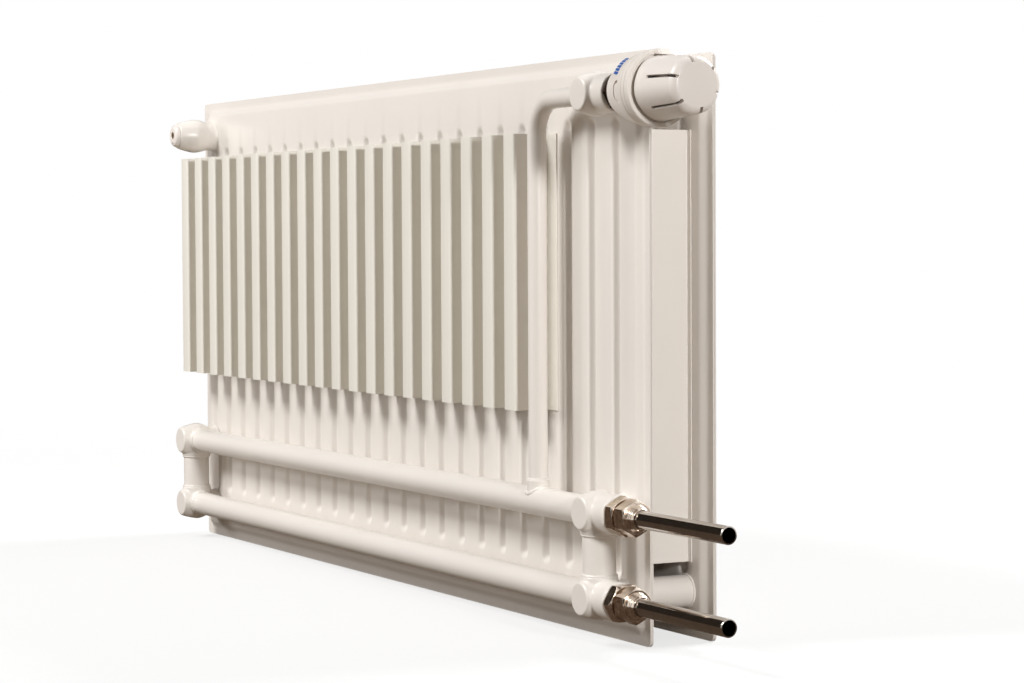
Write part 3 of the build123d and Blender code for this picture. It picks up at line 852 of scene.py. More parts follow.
@dataclass(frozen=True)
class PressedPanels:
    """Two panels, each of two pressed sheets with rounded channels, seam-welded together."""

    layout: Layout
    sheet: float = 1.25
    seam_line: float = 0.1
    channel_depth: float = 5.0
    rim_flange: float = 7.5
    panel_corner: float = 4.0
    plateau_corner: float = 9.0
    groove_pitch: float = 100 / 3
    groove_count: int = 23
    groove_floor: float = 2.5
    groove_margin: float = 43.0
    rear_inset: float = 24.0
    rear_groove_shift: float = 4.75
    front_inset: float = 100 / 3
    press_round: float = 1.8
    crest_crown: float = 0.35
    flank_steps: int = 7
    corner_lines: tuple[float, ...] = (1.2, 2.6)
    closest_lines: float = 0.3
    sharp: float = 50.0

    @property
    def rise(self) -> float:
        """Height of a channel above the rim."""
        return self.channel_depth - self.sheet

    @property
    def half(self) -> tuple[float, float]:
        """Half the panel's width and half its height."""
        return self.layout.panel_width / 2, self.layout.panel_height / 2

    @property
    def groove_reach(self) -> float:
        """Where the grooves' flanks end, up from the panel's middle."""
        return self.half[1] - self.groove_margin - self.rise

    def ramp(self, distance: float) -> float:
        """Share of the rise at a distance in from the foot of a pressed flank.

        Args:
            distance: The distance.

        Returns:
            The share.
        """
        share = (distance + self.press_round) / (self.rise + 2 * self.press_round)
        share = min(max(share, 0.0), 1.0)
        return share * share * (3 - 2 * share)

    def lines(self, marks: Iterable[tuple[float, int]], reach: float) -> list[float]:
        """Mesh lines along one side, close together on each flank.

        Args:
            marks: Where flanks start, each with the way it rises.
            reach: Half the side's length.

        Returns:
            Sorted positions.
        """
        span, steps = self.rise + 2 * self.press_round, self.flank_steps
        flank = [span * step / steps - self.press_round for step in range(steps + 1)]
        found = {0.0} | {round(mark + way * share, 3) for mark, way in marks for share in flank}
        for inward in (0.0, *self.corner_lines, self.panel_corner):
            found |= {inward - reach, reach - inward}
        kept = [-reach]
        for line in sorted(found):
            if line - kept[-1] > self.closest_lines:
                kept.append(line)
        return kept

    def height(self, x: float, z: float, nearest: float) -> float:
        """Height of the sheet's outside above the seam.

        Args:
            x: Place along the panel, from its middle.
            z: Place up the panel, from its middle.
            nearest: The nearest groove's place along the panel.

        Returns:
            The height, in millimetres.
        """
        corner, ends = self.plateau_corner, zip((x, z), self.half)
        in_x, in_z = (abs(at) - (half - self.rim_flange - corner) for at, half in ends)
        outside = math.hypot(max(in_x, 0), max(in_z, 0)) + min(max(in_x, in_z), 0)
        plateau = self.ramp(corner - outside)
        in_channels = 1 - self.ramp(abs(z) - self.groove_reach)
        groove = (1 - self.ramp(abs(x - nearest) - self.groove_floor / 2)) * in_channels
        from_crest = 1 - min(abs(x - nearest) * 2 / self.groove_pitch, 1.0)
        crown = self.crest_crown * from_crest**2 * in_channels
        return self.sheet + (self.rise - crown) * plateau * (1 - groove)

    def pressed_sheet(self, node: str, seam_y: float, wall: Wall, inset: float) -> None:
        """Makes one pressed sheet.

        Args:
            node: The frame node that it replaces.
            seam_y: Where its panel's seam lies.
            wall: Which way it bulges.
            inset: Distance of the last groove from the far end.
        """
        half_x, half_z = self.half
        ways, floor = (-1, 1), self.groove_floor / 2
        grooves = [half_x - inset - self.groove_pitch * i for i in range(self.groove_count)]
        x_marks = [(groove + way * floor, way) for groove in grooves for way in ways]
        x_marks += [(way * (half_x - self.rim_flange), -way) for way in ways]
        z_marks = [(way * self.groove_reach, way) for way in ways]
        z_marks += [(way * (half_z - self.rim_flange), -way) for way in ways]
        rows = self.lines(z_marks, half_z)
        mesh = bmesh.new()
        grid = []
        for x in self.lines(x_marks, half_x):
            nearest = min(grooves, key=lambda groove: abs(groove - x))
            column = []
            for z in rows:
                y = seam_y + wall.value * self.height(x, z, nearest)
                flat_x, flat_z = self.round_corner(x, z)
                point = Vector((self.layout.panel_x + flat_x, y, half_z + flat_z))
                column.append(mesh.verts.new(point * MM))
            grid.append(column)
        for left, right in zip(grid, grid[1:]):
            for corners in zip(left, right, right[1:], left[1:]):
                mesh.faces.new(corners[:: -wall.value])
        name = f"{node}_pressing"
        data = bpy.data.meshes.new(name)
        mesh.to_mesh(data)
        mesh.free()
        data.shade_smooth()
        metal = {"thickness": (self.sheet - self.seam_line) * MM, "use_even_offset": True}
        piece = modified(linked(name, data), "SOLIDIFY", offset=-1.0, **metal)
        fit(smoothed(evaluated(piece, name), self.sharp), ENAMEL, node)

    def round_corner(self, x: float, z: float) -> tuple[float, float]:
        """Moves a grid point of a square corner onto the panel's rounded corner.

        Args:
            x: Place along the panel, from its middle.
            z: Place up the panel, from its middle.

        Returns:
            The moved point.
        """
        starts = [half - self.panel_corner for half in self.half]
        over_x, over_z = abs(x) - starts[0], abs(z) - starts[1]
        if over_x <= 0 or over_z <= 0:
            return x, z
        scale = max(over_x, over_z) / math.hypot(over_x, over_z)
        along, up = starts[0] + over_x * scale, starts[1] + over_z * scale
        return math.copysign(along, x), math.copysign(up, z)

    def build(self) -> None:
        """Makes the four sheets."""
        front, rear = self.layout.front_seam_y, self.layout.rear_seam_y
        inset = self.rear_inset + self.rear_groove_shift
        self.pressed_sheet("front_panel_room_sheet", front, Wall.TO_ROOM, self.front_inset)
        self.pressed_sheet("front_panel_gap_sheet", front, Wall.TO_WALL, self.front_inset)
        self.pressed_sheet("rear_panel_gap_sheet", rear, Wall.TO_ROOM, inset)
        self.pressed_sheet("rear_panel_wall_sheet", rear, Wall.TO_WALL, inset)


@dataclass(frozen=True)
class Convector:
    """A strip folded into fins, its feet welded on a panel's channel crests."""

    node: str
    finish: Finish
    panels: PressedPanels
    seam_y: float
    inset: float
    heights: tuple[float, float]
    fins: int
    depth: float
    end_foot: float
    pitch: float = 100 / 3
    fin_width: float = 16.6
    sheet: float = 0.8
    bend: float = 1.2
    short_foot: float = 4.0
    bend_steps: int = 4

    def path(self) -> list[tuple[Vector, Vector]]:
        """Points of the panel-side face, each with the way out through the sheet.

        Returns:
            The points and ways.
        """
        half, rise, bend = self.fin_width / 2 - self.sheet, self.depth - self.sheet, self.bend
        flat = [(-self.fin_width / 2 - self.short_foot, 0)]
        for fin in range(self.fins):
            left, right = fin * self.pitch - half, fin * self.pitch + half
            flat += [(left, 0), (left, rise), (right, rise), (right, 0)]
        flat.append(((self.fins - 1) * self.pitch + self.fin_width / 2 + self.end_foot, 0))
        corners = [Vector(corner) for corner in flat]
        points = [corners[0]]
        for before, corner, after in zip(corners, corners[1:], corners[2:]):
            into, out = (before - corner).normalized(), (after - corner).normalized()
            centre = corner + (into + out) * bend
            for step in range(self.bend_steps + 1):
                turn = math.pi / 2 * step / self.bend_steps
                points.append(centre - out * bend * math.cos(turn) - into * bend * math.sin(turn))
        points.append(corners[-1])
        runs = [(after - before).normalized() for before, after in zip(points, points[1:])]
        found = []
        for point, before, after in zip(points, [Vector((1, 0)), *runs], [*runs, Vector((1, 0))]):
            way = (before + after).normalized()
            found.append((point, Vector((-way.y, way.x))))
        return found

    def build(self) -> None:
        """Makes the folded strip."""
        first_x = self.panels.layout.panel_x + self.panels.half[0] - self.inset
        crest_y = self.seam_y + self.panels.channel_depth
        bottom, top = self.heights
        rings = []
        for point, out in self.path():
            face = point + out * self.sheet
            ring = ((point, bottom), (face, bottom), (face, top), (point, top))
            rings.append([Vector((first_x - at.x, crest_y + at.y, height)) for at, height in ring])
        fit(skin(f"{self.node}_folded", rings), self.finish, self.node)


@dataclass(frozen=True)
class Forging:
    """A forged knuckle: a stub from the panel, a ball on the pipe axis and a flat nose."""

    layout: Layout
    node: str
    x: float
    z: float
    stub_radius: float = 11.25
    stub_length: float = 19.1
    ball_radius: float = 15.2
    neck_reach: float = 11.0
    neck_swell: tuple[float, float] = (-5.7, 13.9)
    shoulder: tuple[float, float] = (8.5, 13.6)
    nose_reach: float = 16.0
    nose_radius: float = 10.6
    nose_edge: float = 1.0
    branch_radius: float = 13.3
    branch_reach: float = 27.0
    foot_flare: float = 1.3
    foot_slope: float = 1.4
    neck_steps: int = 8
    shoulder_steps: int = 10
    socket_rim: float = 0.7
    sides: int = 72
    grain: float = 0.5
    passes: int = 16

    @property
    def branch(self) -> tuple[Vector, float, float]:
        """The branch as a socket for build."""
        return OUT, self.branch_radius, self.branch_reach

    def body(self) -> Piece:
        """The turned form that all knuckles share.

        Returns:
            Its solid.
        """
        ball, foot = (0, self.ball_radius), -self.stub_length
        neck_start = (-self.neck_reach, self.stub_radius)
        neck = arc_through(neck_start, self.neck_swell, ball, self.neck_steps)
        nose_start = (self.nose_reach - self.nose_edge, self.nose_radius + self.nose_edge)
        dome = arc_through(ball, self.shoulder, nose_start, self.shoulder_steps)
        flare = [(foot, 0), (foot, self.stub_radius + self.foot_flare)]
        flare.append((foot + self.foot_flare * self.foot_slope, self.stub_radius))
        nose = [(self.nose_reach, self.nose_radius), (self.nose_reach, 0)]
        place = self.layout.wallward(self.x, self.z)
        return revolve(f"{self.node}_turned", flare + neck + dome[1:] + nose, place, self.sides)

    def socket(self, way: Vector, radius: float, reach: float) -> Piece:
        """A round socket that stands out of the ball.

        Args:
            way: The way it points.
            radius: Its outer radius.
            reach: How far its rim lies from the middle.

        Returns:
            The socket's solid.
        """
        rim = self.socket_rim
        profile = [(0, 0), (0, radius), (reach - rim, radius), (reach, radius - rim), (reach, 0)]
        place = Place(self.layout.on_pipes(self.x, self.z), way, WALLWARD)
        return revolve(f"{self.node}_socket", profile, place, self.sides)

    def build(self, *sockets: tuple[Vector, float, float]) -> None:
        """Makes the forging with the given ways, radii and reaches of its sockets."""
        parts = [self.body(), *(self.socket(*socket) for socket in sockets)]
        fit(melted(f"{self.node}_forging", parts, self.grain, self.passes), ENAMEL, self.node)


@dataclass(frozen=True)
class PipeRun:
    """Headers, connectors, riser and spacers between the forgings, with their weld beads."""

    layout: Layout
    header_radius: float = 10.0
    header_wall: float = 1.5
    header_end: float = 12.2
    header_steps: int = 12
    collar_reach: float = 15.2
    collar_wall: float = 1.4
    connector_radius: float = 11.5
    connector_wall: float = 1.75
    connector_end: float = 8.3
    connector_steps: int = 4
    riser_radius: float = 6.75
    riser_wall: float = 1.25
    riser_bend: float = 25.0
    riser_foot: float = 10.5
    riser_socket: float = 8.4
    riser_gap: float = 0.05
    riser_steps: int = 20
    riser_run_steps: tuple[int, int] = (10, 4)
    riser_sides: int = 48
    saddle_foot: float = 6.0
    saddle_radius: float = 8.2
    saddle_top: float = 15.5
    saddle_edge: float = 0.8
    saddle_sides: int = 64
    saddle_points: int = 90
    spacer_radius: float = 11.25
    spacer_wall: float = 2.5
    spacer_sides: int = 64
    spacer_steps: int = 3
    spacer_bead: float = 0.6
    channel_depth: float = 5.0
    bead_radius: float = 1.1
    thin_bead: float = 0.9
    saddle_bead: float = 1.5
    socket_bead: float = 1.3

    def forgings(self) -> None:
        """Makes the four tees, the valve body and the vent boss."""
        here, reach = self.layout, self.collar_reach
        levels = (("upper", here.upper_header_z, -UP), ("lower", here.lower_header_z, UP))
        for side, x, inward in (("valve", here.valve_x, FAR), ("vent", here.vent_x, OUT)):
            for level, z, way in levels:
                tee = Forging(here, f"tee_{level}_{side}", x, z)
                header = (inward, self.header_radius + self.collar_wall, reach)
                connector = (way, self.connector_radius + self.collar_wall, reach)
                tee.build(header, connector, *([tee.branch] if side == "valve" else []))
        valve = Forging(here, "valve_body", here.valve_x, here.valve_z)
        valve.build(valve.branch)
        wide = {"stub_radius": 13.0, "neck_swell": (-5.7, 14.5)}
        Forging(here, "vent_boss", here.vent_x, here.vent_z, **wide).build()

    def headers(self) -> None:
        """Makes the two headers with a bead at each end."""
        here, radius = self.layout, self.header_radius
        span = here.vent_x - here.valve_x
        for level, z in (("upper", here.upper_header_z), ("lower", here.lower_header_z)):
            node = f"header_{level}"
            start = here.on_pipes(here.valve_x + self.header_end, z)
            stop = here.on_pipes(here.vent_x - self.header_end, z)
            path = straight(start, stop, self.header_steps)
            fit(pipe(f"{node}_tube", path, UP, radius, self.header_wall), ENAMEL, node)
            for end, along in (("valve", -self.collar_reach), ("vent", self.collar_reach - span)):
                ring_bead(f"{node}_bead_{end}", here.outward(z), along, radius, self.bead_radius)

    def connectors(self) -> None:
        """Makes the two upright connectors with a bead at each end."""
        here, reach = self.layout, self.collar_reach
        low, high = here.lower_header_z, here.upper_header_z
        for node, x in (("connector_valve", here.valve_x), ("connector_vent", here.vent_x)):
            start = here.on_pipes(x, low + self.connector_end)
            stop = here.on_pipes(x, high - self.connector_end)
            path = straight(start, stop, self.connector_steps)
            tube = pipe(f"{node}_tube", path, WALLWARD, self.connector_radius, self.connector_wall)
            fit(tube, ENAMEL, node)
            axis = Place(here.on_pipes(x, 0), UP, WALLWARD)
            for level, z in (("lower", low + reach), ("upper", high - reach)):
                ring_bead(f"{node}_bead_{level}", axis, z, self.connector_radius, self.bead_radius)

    def riser(self) -> None:
        """Makes the riser with its bend."""
        here, bend, steps = self.layout, self.riser_bend, self.riser_steps
        foot = here.on_pipes(here.riser_x, here.upper_header_z + self.riser_foot)
        corner = here.on_pipes(here.riser_x, here.valve_z)
        centre = corner + Vector((-bend, 0, -bend))
        up_steps, out_steps = self.riser_run_steps
        path = straight(foot, corner - Vector((0, 0, bend)), up_steps)
        for step in range(1, steps):
            turn = math.pi / 2 * step / steps
            path.append(centre + Vector((bend * math.cos(turn), 0, bend * math.sin(turn))))
        end = here.on_pipes(here.valve_x + self.riser_socket, here.valve_z)
        path += straight(corner - Vector((bend, 0, 0)), end, out_steps)
        size = (self.riser_radius, self.riser_wall, self.riser_sides)
        fit(pipe("riser_tube", path, WALLWARD, *size), ENAMEL, "riser_pipe")

    def saddle(self) -> None:
        """Makes the riser's saddle collar and the riser's beads."""
        here = self.layout
        axis = Place(here.on_pipes(here.riser_x, here.upper_header_z), UP, FAR)
        inner, outer = self.riser_radius + self.riser_gap, self.saddle_radius
        foot, top, edge = self.saddle_foot, self.saddle_top, self.saddle_edge
        profile = [(foot, inner), (foot, outer), (top - edge, outer)]
        profile += [(top, outer - edge), (top, inner)]
        collar = revolve("riser_saddle_collar", profile, axis, self.saddle_sides)
        fit(collar, ENAMEL, "riser_collar")
        path, ups = [], []
        for turn in (360 * i / self.saddle_points for i in range(self.saddle_points)):
            way = axis.way(turn)
            height = math.sqrt(self.header_radius**2 - (way.y * outer) ** 2)
            path.append(axis.at(height, outer, turn))
            ups.append((way + UP).normalized())
        weld_bead("riser_saddle_bead", path, ups, self.saddle_bead)
        ring_bead("riser_collar_bead", axis, top, self.riser_radius, self.thin_bead)
        into_ball = math.sqrt(Forging.ball_radius**2 - self.riser_radius**2)
        socket = here.outward(here.valve_z)
        ring_bead("riser_socket_bead", socket, -into_ball, self.riser_radius, self.socket_bead)

    def spacers(self) -> None:
        """Makes the four spacer tubes between the panels."""
        here = self.layout
        front, rear = here.front_seam_y + self.channel_depth, here.rear_seam_y - self.channel_depth
        for node, x, z in (
            ("spacer_upper_valve", here.valve_x, here.valve_z),
            ("spacer_upper_vent", here.vent_x, here.vent_z),
            ("spacer_lower_valve", here.valve_x, here.lower_header_z),
            ("spacer_lower_vent", here.vent_x, here.lower_header_z),
        ):
            axis = Place(Vector((x, front, z)), WALLWARD, FAR)
            path = straight(axis.start, Vector((x, rear, z)), self.spacer_steps)
            size = (self.spacer_radius, self.spacer_wall, self.spacer_sides)
            fit(pipe(f"{node}_tube", path, UP, *size), ENAMEL, node)
            inward = self.spacer_bead
            for end, along in (("front", inward), ("rear", rear - front - inward)):
                ring_bead(f"{node}_bead_{end}", axis, along, self.spacer_radius, self.thin_bead)

    def build(self) -> None:
        """Makes the whole pipe run."""
        self.forgings()
        self.headers()
        self.connectors()
        self.riser()
        self.saddle()
        self.spacers()


@dataclass(frozen=True)
class CompressionUnion:
    """Hexagon body, nut with a coned snout, thread and the tube that runs out of them."""

    layout: Layout
    way: str
    height: float
    body_turn: float
    nut_turn: float
    body_start: float = 27.8
    body_flats: float = 24.0
    body_length: float = 9.0
    thread_radius: float = 9.4
    thread_length: float = 8.0
    thread_pitch: float = 1.0
    thread_depth: float = 0.5
    thread_sunk: float = 0.5
    thread_run_in: float = 0.2
    thread_crest: tuple[float, float] = (0.4, 0.6)
    nut_flats: float = 22.0
    nut_gap: float = 1.6
    nut_length: float = 11.5
    snout_length: float = 6.5
    snout_radius: float = 9.3
    snout_gap: float = 0.05
    snout_tip: Profile = ((-0.8, 7.7), (0.0, 6.9))
    snout_rings: int = 3
    ring_start: float = 1.6
    ring_pitch: float = 1.5
    ring_step: float = 0.45
    ring_shape: Profile = ((0.0, 0.15), (0.25, 0.6), (0.5, 0.35))
    chamfer: float = 1.2
    bearing: float = 0.2
    bore: float = 5.2
    running_fit: float = 0.2
    tube_radius: float = 6.0
    tube_wall: float = 1.0
    tube_reach: float = 160.85
    tube_socket: float = 6.0
    tube_burr: float = 0.3
    tube_rub: float = 0.09
    edge: float = 0.22
    sides: int = 60
    sharp: float = 24.0

    @property
    def axis(self) -> Place:
        """The union's axis, out from the tee's middle."""
        return self.layout.outward(self.height)

    @property
    def body_end(self) -> float:
        """Where the hexagon body ends."""
        return self.body_start + self.body_length

    def hexagon(
        self,
        name: str,
        flats: float,
        turn: float,
        ends: tuple[float, float],
        more: Profile,
        bore: float,
    ) -> Piece:
        """A hexagon chamfered at both ends, with turned steps beyond its far end and a bore.

        Args:
            name: The object's name.
            flats: Width across the flats.
            turn: Angle of a corner from the wall side.
            ends: Its near and far end.
            more: Turned steps after the far end.
            bore: Radius of the bore.

        Returns:
            The hexagon piece.
        """
        face = flats / 2 - self.bearing
        lean = self.chamfer / (flats / math.sqrt(3) - face)
        start, end = ends
        last = more[-1][0] if more else end
        rows = [(start, bore, 0), (start, face, 0), (start, None, lean), (end, None, -lean)]
        rows += [(along, radius, 0) for along, radius in ((end, face), *more, (last, bore))]
        rings = []
        for along, radius, slope in rows:
            ring = []
            for degrees in (360 * i / self.sides for i in range(self.sides)):
                hexed = flats / 2 / math.cos(math.radians(degrees % 60 - 30))
                reach = hexed if radius is None else radius
                ring.append(self.axis.at(along + (hexed - face) * slope, reach, turn + degrees))
            rings.append(ring)
        return rounded_edges(skin(name, rings, True, self.sharp), self.edge, self.sharp)

    def thread(self) -> None:
        """Makes the body's outer thread with its spigot, turned in one piece."""
        start, end = self.body_end - self.thread_sunk, self.body_end + self.thread_length
        crest, root = self.thread_radius, self.thread_radius - self.thread_depth
        profile = [(start, self.bore), (start, root)]
        along = self.body_end + self.thread_run_in
        while along + self.thread_pitch < end:
            profile.append((along, root))
            profile += [(along + self.thread_pitch * share, crest) for share in self.thread_crest]
            along += self.thread_pitch
        profile += [(end, root), (end, self.bore)]
        fit(revolve(f"union_thread_{self.way}", profile, self.axis), NICKEL)

    def nut(self) -> None:
        """Makes the nut with the turned rings of its snout."""
        start = self.body_end + self.nut_gap
        hex_end = start + self.nut_length
        end = hex_end + self.snout_length
        snout = [(hex_end + self.snout_gap, self.snout_radius)]
        for step in range(self.snout_rings):
            along = hex_end + self.ring_start + self.ring_pitch * step
            radius = self.snout_radius - self.ring_step * step
            snout += [(along + further, radius - cut) for further, cut in self.ring_shape]
        snout += [(end + further, radius) for further, radius in self.snout_tip]
        name, bore = f"union_snout_nut_{self.way}", self.tube_radius + self.running_fit
        nut = self.hexagon(name, self.nut_flats, self.nut_turn, (start, hex_end), snout, bore)
        fit(nut, NICKEL, f"union_nut_{self.way}")

    def tube(self) -> None:
        """Makes the tube with its cut and rounded end."""
        outside, inside = self.tube_radius, self.tube_radius - self.tube_wall
        start = self.body_end + self.thread_length - self.tube_socket
        end, burr, rub = self.tube_reach, self.tube_burr, self.tube_rub
        profile = [(start, inside), (start, outside), (end - burr, outside)]
        profile += [(end - rub, outside - rub), (end, outside - burr)]
        profile += [(end, inside + rub), (end - burr / 2, inside)]
        fit(revolve(f"union_tail_{self.way}", profile, self.axis), TUBE_CHROME, f"tube_{self.way}")

    def build(self) -> None:
        """Makes the union and its tube."""
        name, ends = f"union_hexagon_{self.way}", (self.body_start, self.body_end)
        body = self.hexagon(name, self.body_flats, self.body_turn, ends, [], self.bore)
        fit(body, NICKEL, f"union_body_{self.way}")
        self.thread()
        self.nut()
        self.tube()


@dataclass(frozen=True)
class ThermostaticHead:
    """Bell-shaped base with its scale marks and lug, limit ring, and the slotted cap."""

    layout: Layout
    edge: float = 0.3
    bell_start: float = 35.15
    bell_radius: float = 14.5
    mouth: float = 40.8
    mouth_edge: float = 0.4
    bell_inner: float = 13.6
    bell_middle: tuple[float, float] = (52.0, 20.7)
    bell_steps: int = 28
    bell_fine_steps: int = 60
    bell_sides: int = 144
    flange_start: float = 70.65
    flange_end: float = 80.65
    flange_radius: float = 24.99
    flange_edge: float = 0.5
    web: tuple[float, float] = (42.2, 44.4)
    guide_inner: float = 12.8
    guide_outer: float = 14.6
    guide_end: float = 111.0
    rod_hole: float = 3.3
    running_fit: float = 0.3
    groove_places: tuple[float, ...] = (72.4, 76.2)
    groove_width: float = 0.5
    groove_depth: float = 0.35
    recess_radius: float = 22.0
    recess_depth: float = 1.3
    button_places: tuple[float, ...] = (66.2, 62.2, 60.3, 59.8, 60.0, 62.0, 66.4)
    button_turns: tuple[float, ...] = (11.0, 10.2, 6.5, -4.0, -13.5, -18.6, -20.2)
    button_groove: tuple[float, float, float] = (1.0, 2.6, 0.6)
    lug_width: float = 9.0
    lug_end: float = 90.0
    lug_base: float = 21.45
    lug_top: float = 25.2
    lug_slope: float = 5.0
    lug_rim: float = 0.2
    lug_drop: float = 0.45
    lug_round: float = 0.9
    ring_radius: float = 19.8
    ring_width: float = 1.75
    ring_gap: float = 0.02
    ring_sides: int = 120
    cap_start: float = 82.8
    cap_edge: float = 0.5
    cap_edge_lobes: tuple[float, float] = (0.6, 0.7)
    cap_base_radius: float = 21.4
    cap_shoulder: float = 119.7
    cap_end_radius: float = 19.0
    cap_round: tuple[float, float] = (123.7, 17.5)
    cap_end: float = 125.6
    cap_face_radius: float = 14.2
    cap_wall: float = 2.2
    cap_bearing: float = 4.0
    cap_sides: int = 180
    cap_steps: int = 10
    cap_sharp: float = 40.0
    lobe: float = 0.45
    slots: int = 6
    slot_width: float = 2.2
    slot_start: float = 94.5
    slot_floor: float = 14.5
    slot_turn: float = 17.8
    slot_run_out: float = 2.0
    slot_steps: int = 10
    tick_count: int = 6
    tick_first: float = 25.5
    tick_pitch: float = 6.3
    tick_reach: float = 62.8
    tick_drift: float = 0.045
    tick_slant: float = 0.5
    tick_size: tuple[float, float] = (10.5, 4.6)
    tick_relief: tuple[float, float] = (-0.05, 0.03)

    @property
    def axis(self) -> Place:
        """The head's axis."""
        return self.layout.outward(self.layout.valve_z)

    def bell_arc(self, steps: int) -> list[tuple[float, float]]:
        """Outside of the bell, from its mouth to the flange."""
        end = (self.flange_start, self.flange_radius)
        return arc_through((self.bell_start, self.bell_radius), self.bell_middle, end, steps)

    def bell_surface(self, along: float) -> float:
        """Radius of the bell's outside at a place along it.

        Args:
            along: The place.

        Returns:
            The radius.
        """
        arc = self.bell_arc(self.bell_fine_steps)
        for (a, first), (b, second) in zip(arc, arc[1:]):
            if a <= along <= b:
                return first + (second - first) * (along - a) / (b - a)
        return self.flange_radius

    def on_bell(self, along: float, degrees: float, out: float = 0.0) -> Vector:
        """A point on the bell's outside."""
        return self.axis.at(along, self.bell_surface(along) + out, degrees)

    def base(self) -> None:
        """Makes the bell with its seam grooves and its button outline."""
        mouth, lip, inner = self.mouth, self.bell_surface(self.mouth), self.bell_inner
        rim, end, edge, soft = self.flange_radius, self.flange_end, self.edge, self.mouth_edge
        profile = [(mouth + soft, inner), (mouth, inner + soft), (mouth, lip - edge)]
        profile.append((mouth + edge, lip + edge / 2))
        arc = self.bell_arc(self.bell_steps)
        profile += [(along, radius) for along, radius in arc if along > mouth + soft]
        for place in self.groove_places:
            half, floor = self.groove_width / 2, rim - self.groove_depth
            profile += [(place - half, rim), (place - half * 0.5, floor)]
            profile += [(place + half * 0.5, floor), (place + half, rim)]
        recess, radius = end - self.recess_depth, self.recess_radius
        profile += [(end - self.flange_edge, rim), (end, rim - self.flange_edge)]
        profile += [(end, radius + edge), (end - edge, radius)]
        profile += [(recess, radius), (recess, self.guide_outer)]
        profile += [(self.guide_end, self.guide_outer), (self.guide_end, self.guide_inner)]
        profile += [(self.web[1], self.guide_inner), (self.web[1], self.rod_hole)]
        profile += [(self.web[0], self.rod_hole), (self.web[0], inner)]
        bell = revolve("head_bell", profile, self.axis, self.bell_sides)
        fit(cut_away(bell, self.button_outline(), "head_bell"), HEAD_PLASTIC, "head_base")

    def button_outline(self) -> Piece:
        """The open groove round a sprung button in the bell.

        Returns:
            The groove as a cutter.
        """
        corners = list(zip(self.button_places, self.button_turns))
        marks = []
        for (a, first), (b, second) in zip(corners, corners[1:]):
            for share in (0, 0.25, 0.5, 0.75):
                marks.append((a + (b - a) * share, first + (second - first) * share))
        marks.append(corners[-1])
        path = [self.on_bell(*mark) for mark in marks]
        ups = [self.axis.way(degrees) for _, degrees in marks]
        width, deep, out = self.button_groove
        section = [(-width, -deep), (width, -deep), (width, out), (-width, out)]
        return skin("button_outline", sweep(path, ups, lambda _: section))

    def scale_marks(self) -> None:
        """Makes the printed scale ticks on the bell."""
        (length, height), (low, high) = self.tick_size, self.tick_relief
        half, marks = length / 2, []
        section = [(-half, low), (half, low), (half, high), (-half, high)]
        for tick in range(self.tick_count):
            path, ups = [], []
            for share in (-0.5, -0.25, 0.0, 0.25, 0.5):
                degrees = self.tick_first + self.tick_pitch * tick + height * share
                along = self.tick_reach - self.tick_drift * (degrees - self.tick_first)
                path.append(self.on_bell(along + self.tick_slant * share, degrees, high))
                ups.append(self.axis.way(degrees))
            marks.append(skin(f"scale_tick_{tick}", sweep(path, ups, lambda _: section)))
        fit(joined("head_scale_ticks", marks), SCALE_INK)

    def lug(self) -> None:
        """Makes the stop lug on top of the flange."""
        start, end, slope, base = self.flange_start, self.lug_end, self.lug_slope, self.lug_base
        outline = [(start, base), (start, self.flange_radius - self.lug_rim)]
        outline += [(start + slope, self.lug_top), (end - slope, self.lug_top)]
        outline += [(end, base - self.lug_drop), (self.cap_start, base)]
        sides = [self.axis.side * (side * self.lug_width / 2) for side in (-1, 1)]
        rings = [[self.axis.at(a, r, 90) + side for a, r in outline] for side in sides]
        lug = rounded_edges(skin("head_stop_lug", rings), self.lug_round, degrees=15, segments=4)
        fit(lug, HEAD_PLASTIC)

    def ring(self) -> None:
        """Makes the limit ring between the bell and the cap."""
        start, end = self.flange_end + self.ring_gap, self.flange_end + self.ring_width
        inner, outer = self.guide_outer + self.running_fit, self.ring_radius
        edge, soft = self.edge, self.mouth_edge
        profile = [(start, inner), (start, outer - edge), (self.flange_end + edge, outer)]
        profile += [(end - soft, outer), (end, outer - soft), (end, inner)]
        ring = revolve("head_limit_ring", profile, self.axis, self.ring_sides)
        fit(ring, HEAD_PLASTIC, "limit_ring")

    def cap_outline(self) -> list[tuple[float, float, float]]:
        """Profile of the cap, with the share of the lobes that each point takes.

        Returns:
            The distance along the axis, the radius and the share.
        """
        start, base, wall = self.cap_start + self.cap_edge, self.cap_base_radius, self.cap_wall
        steps, (rim_lobes, foot_lobes) = self.cap_steps, self.cap_edge_lobes
        outline = [(self.cap_start, base - self.cap_edge, rim_lobes), (start, base, foot_lobes)]
        for share in (step / steps for step in range(1, steps + 1)):
            along = start + (self.cap_shoulder - start) * share
            outline.append((along, base + (self.cap_end_radius - base) * share, 1.0))
        shoulder = (self.cap_shoulder, self.cap_end_radius)
        face = (self.cap_end, self.cap_face_radius)
        arc = arc_through(shoulder, self.cap_round, face, steps)
        for i, (along, radius) in enumerate(arc[1:]):
            outline.append((along, radius, 1 - (i + 1) / steps))
        floor, bearing = self.cap_end - wall, self.cap_start + self.cap_bearing
        inner = self.guide_outer + self.running_fit
        inside = [(self.cap_end, 0), (floor, 0), (floor, self.cap_face_radius - wall)]
        inside += [(self.cap_shoulder, self.cap_end_radius - wall), (bearing, base - wall)]
        inside += [(bearing, inner), (self.cap_start, inner)]
        return outline + [(along, radius, 0.0) for along, radius in inside]

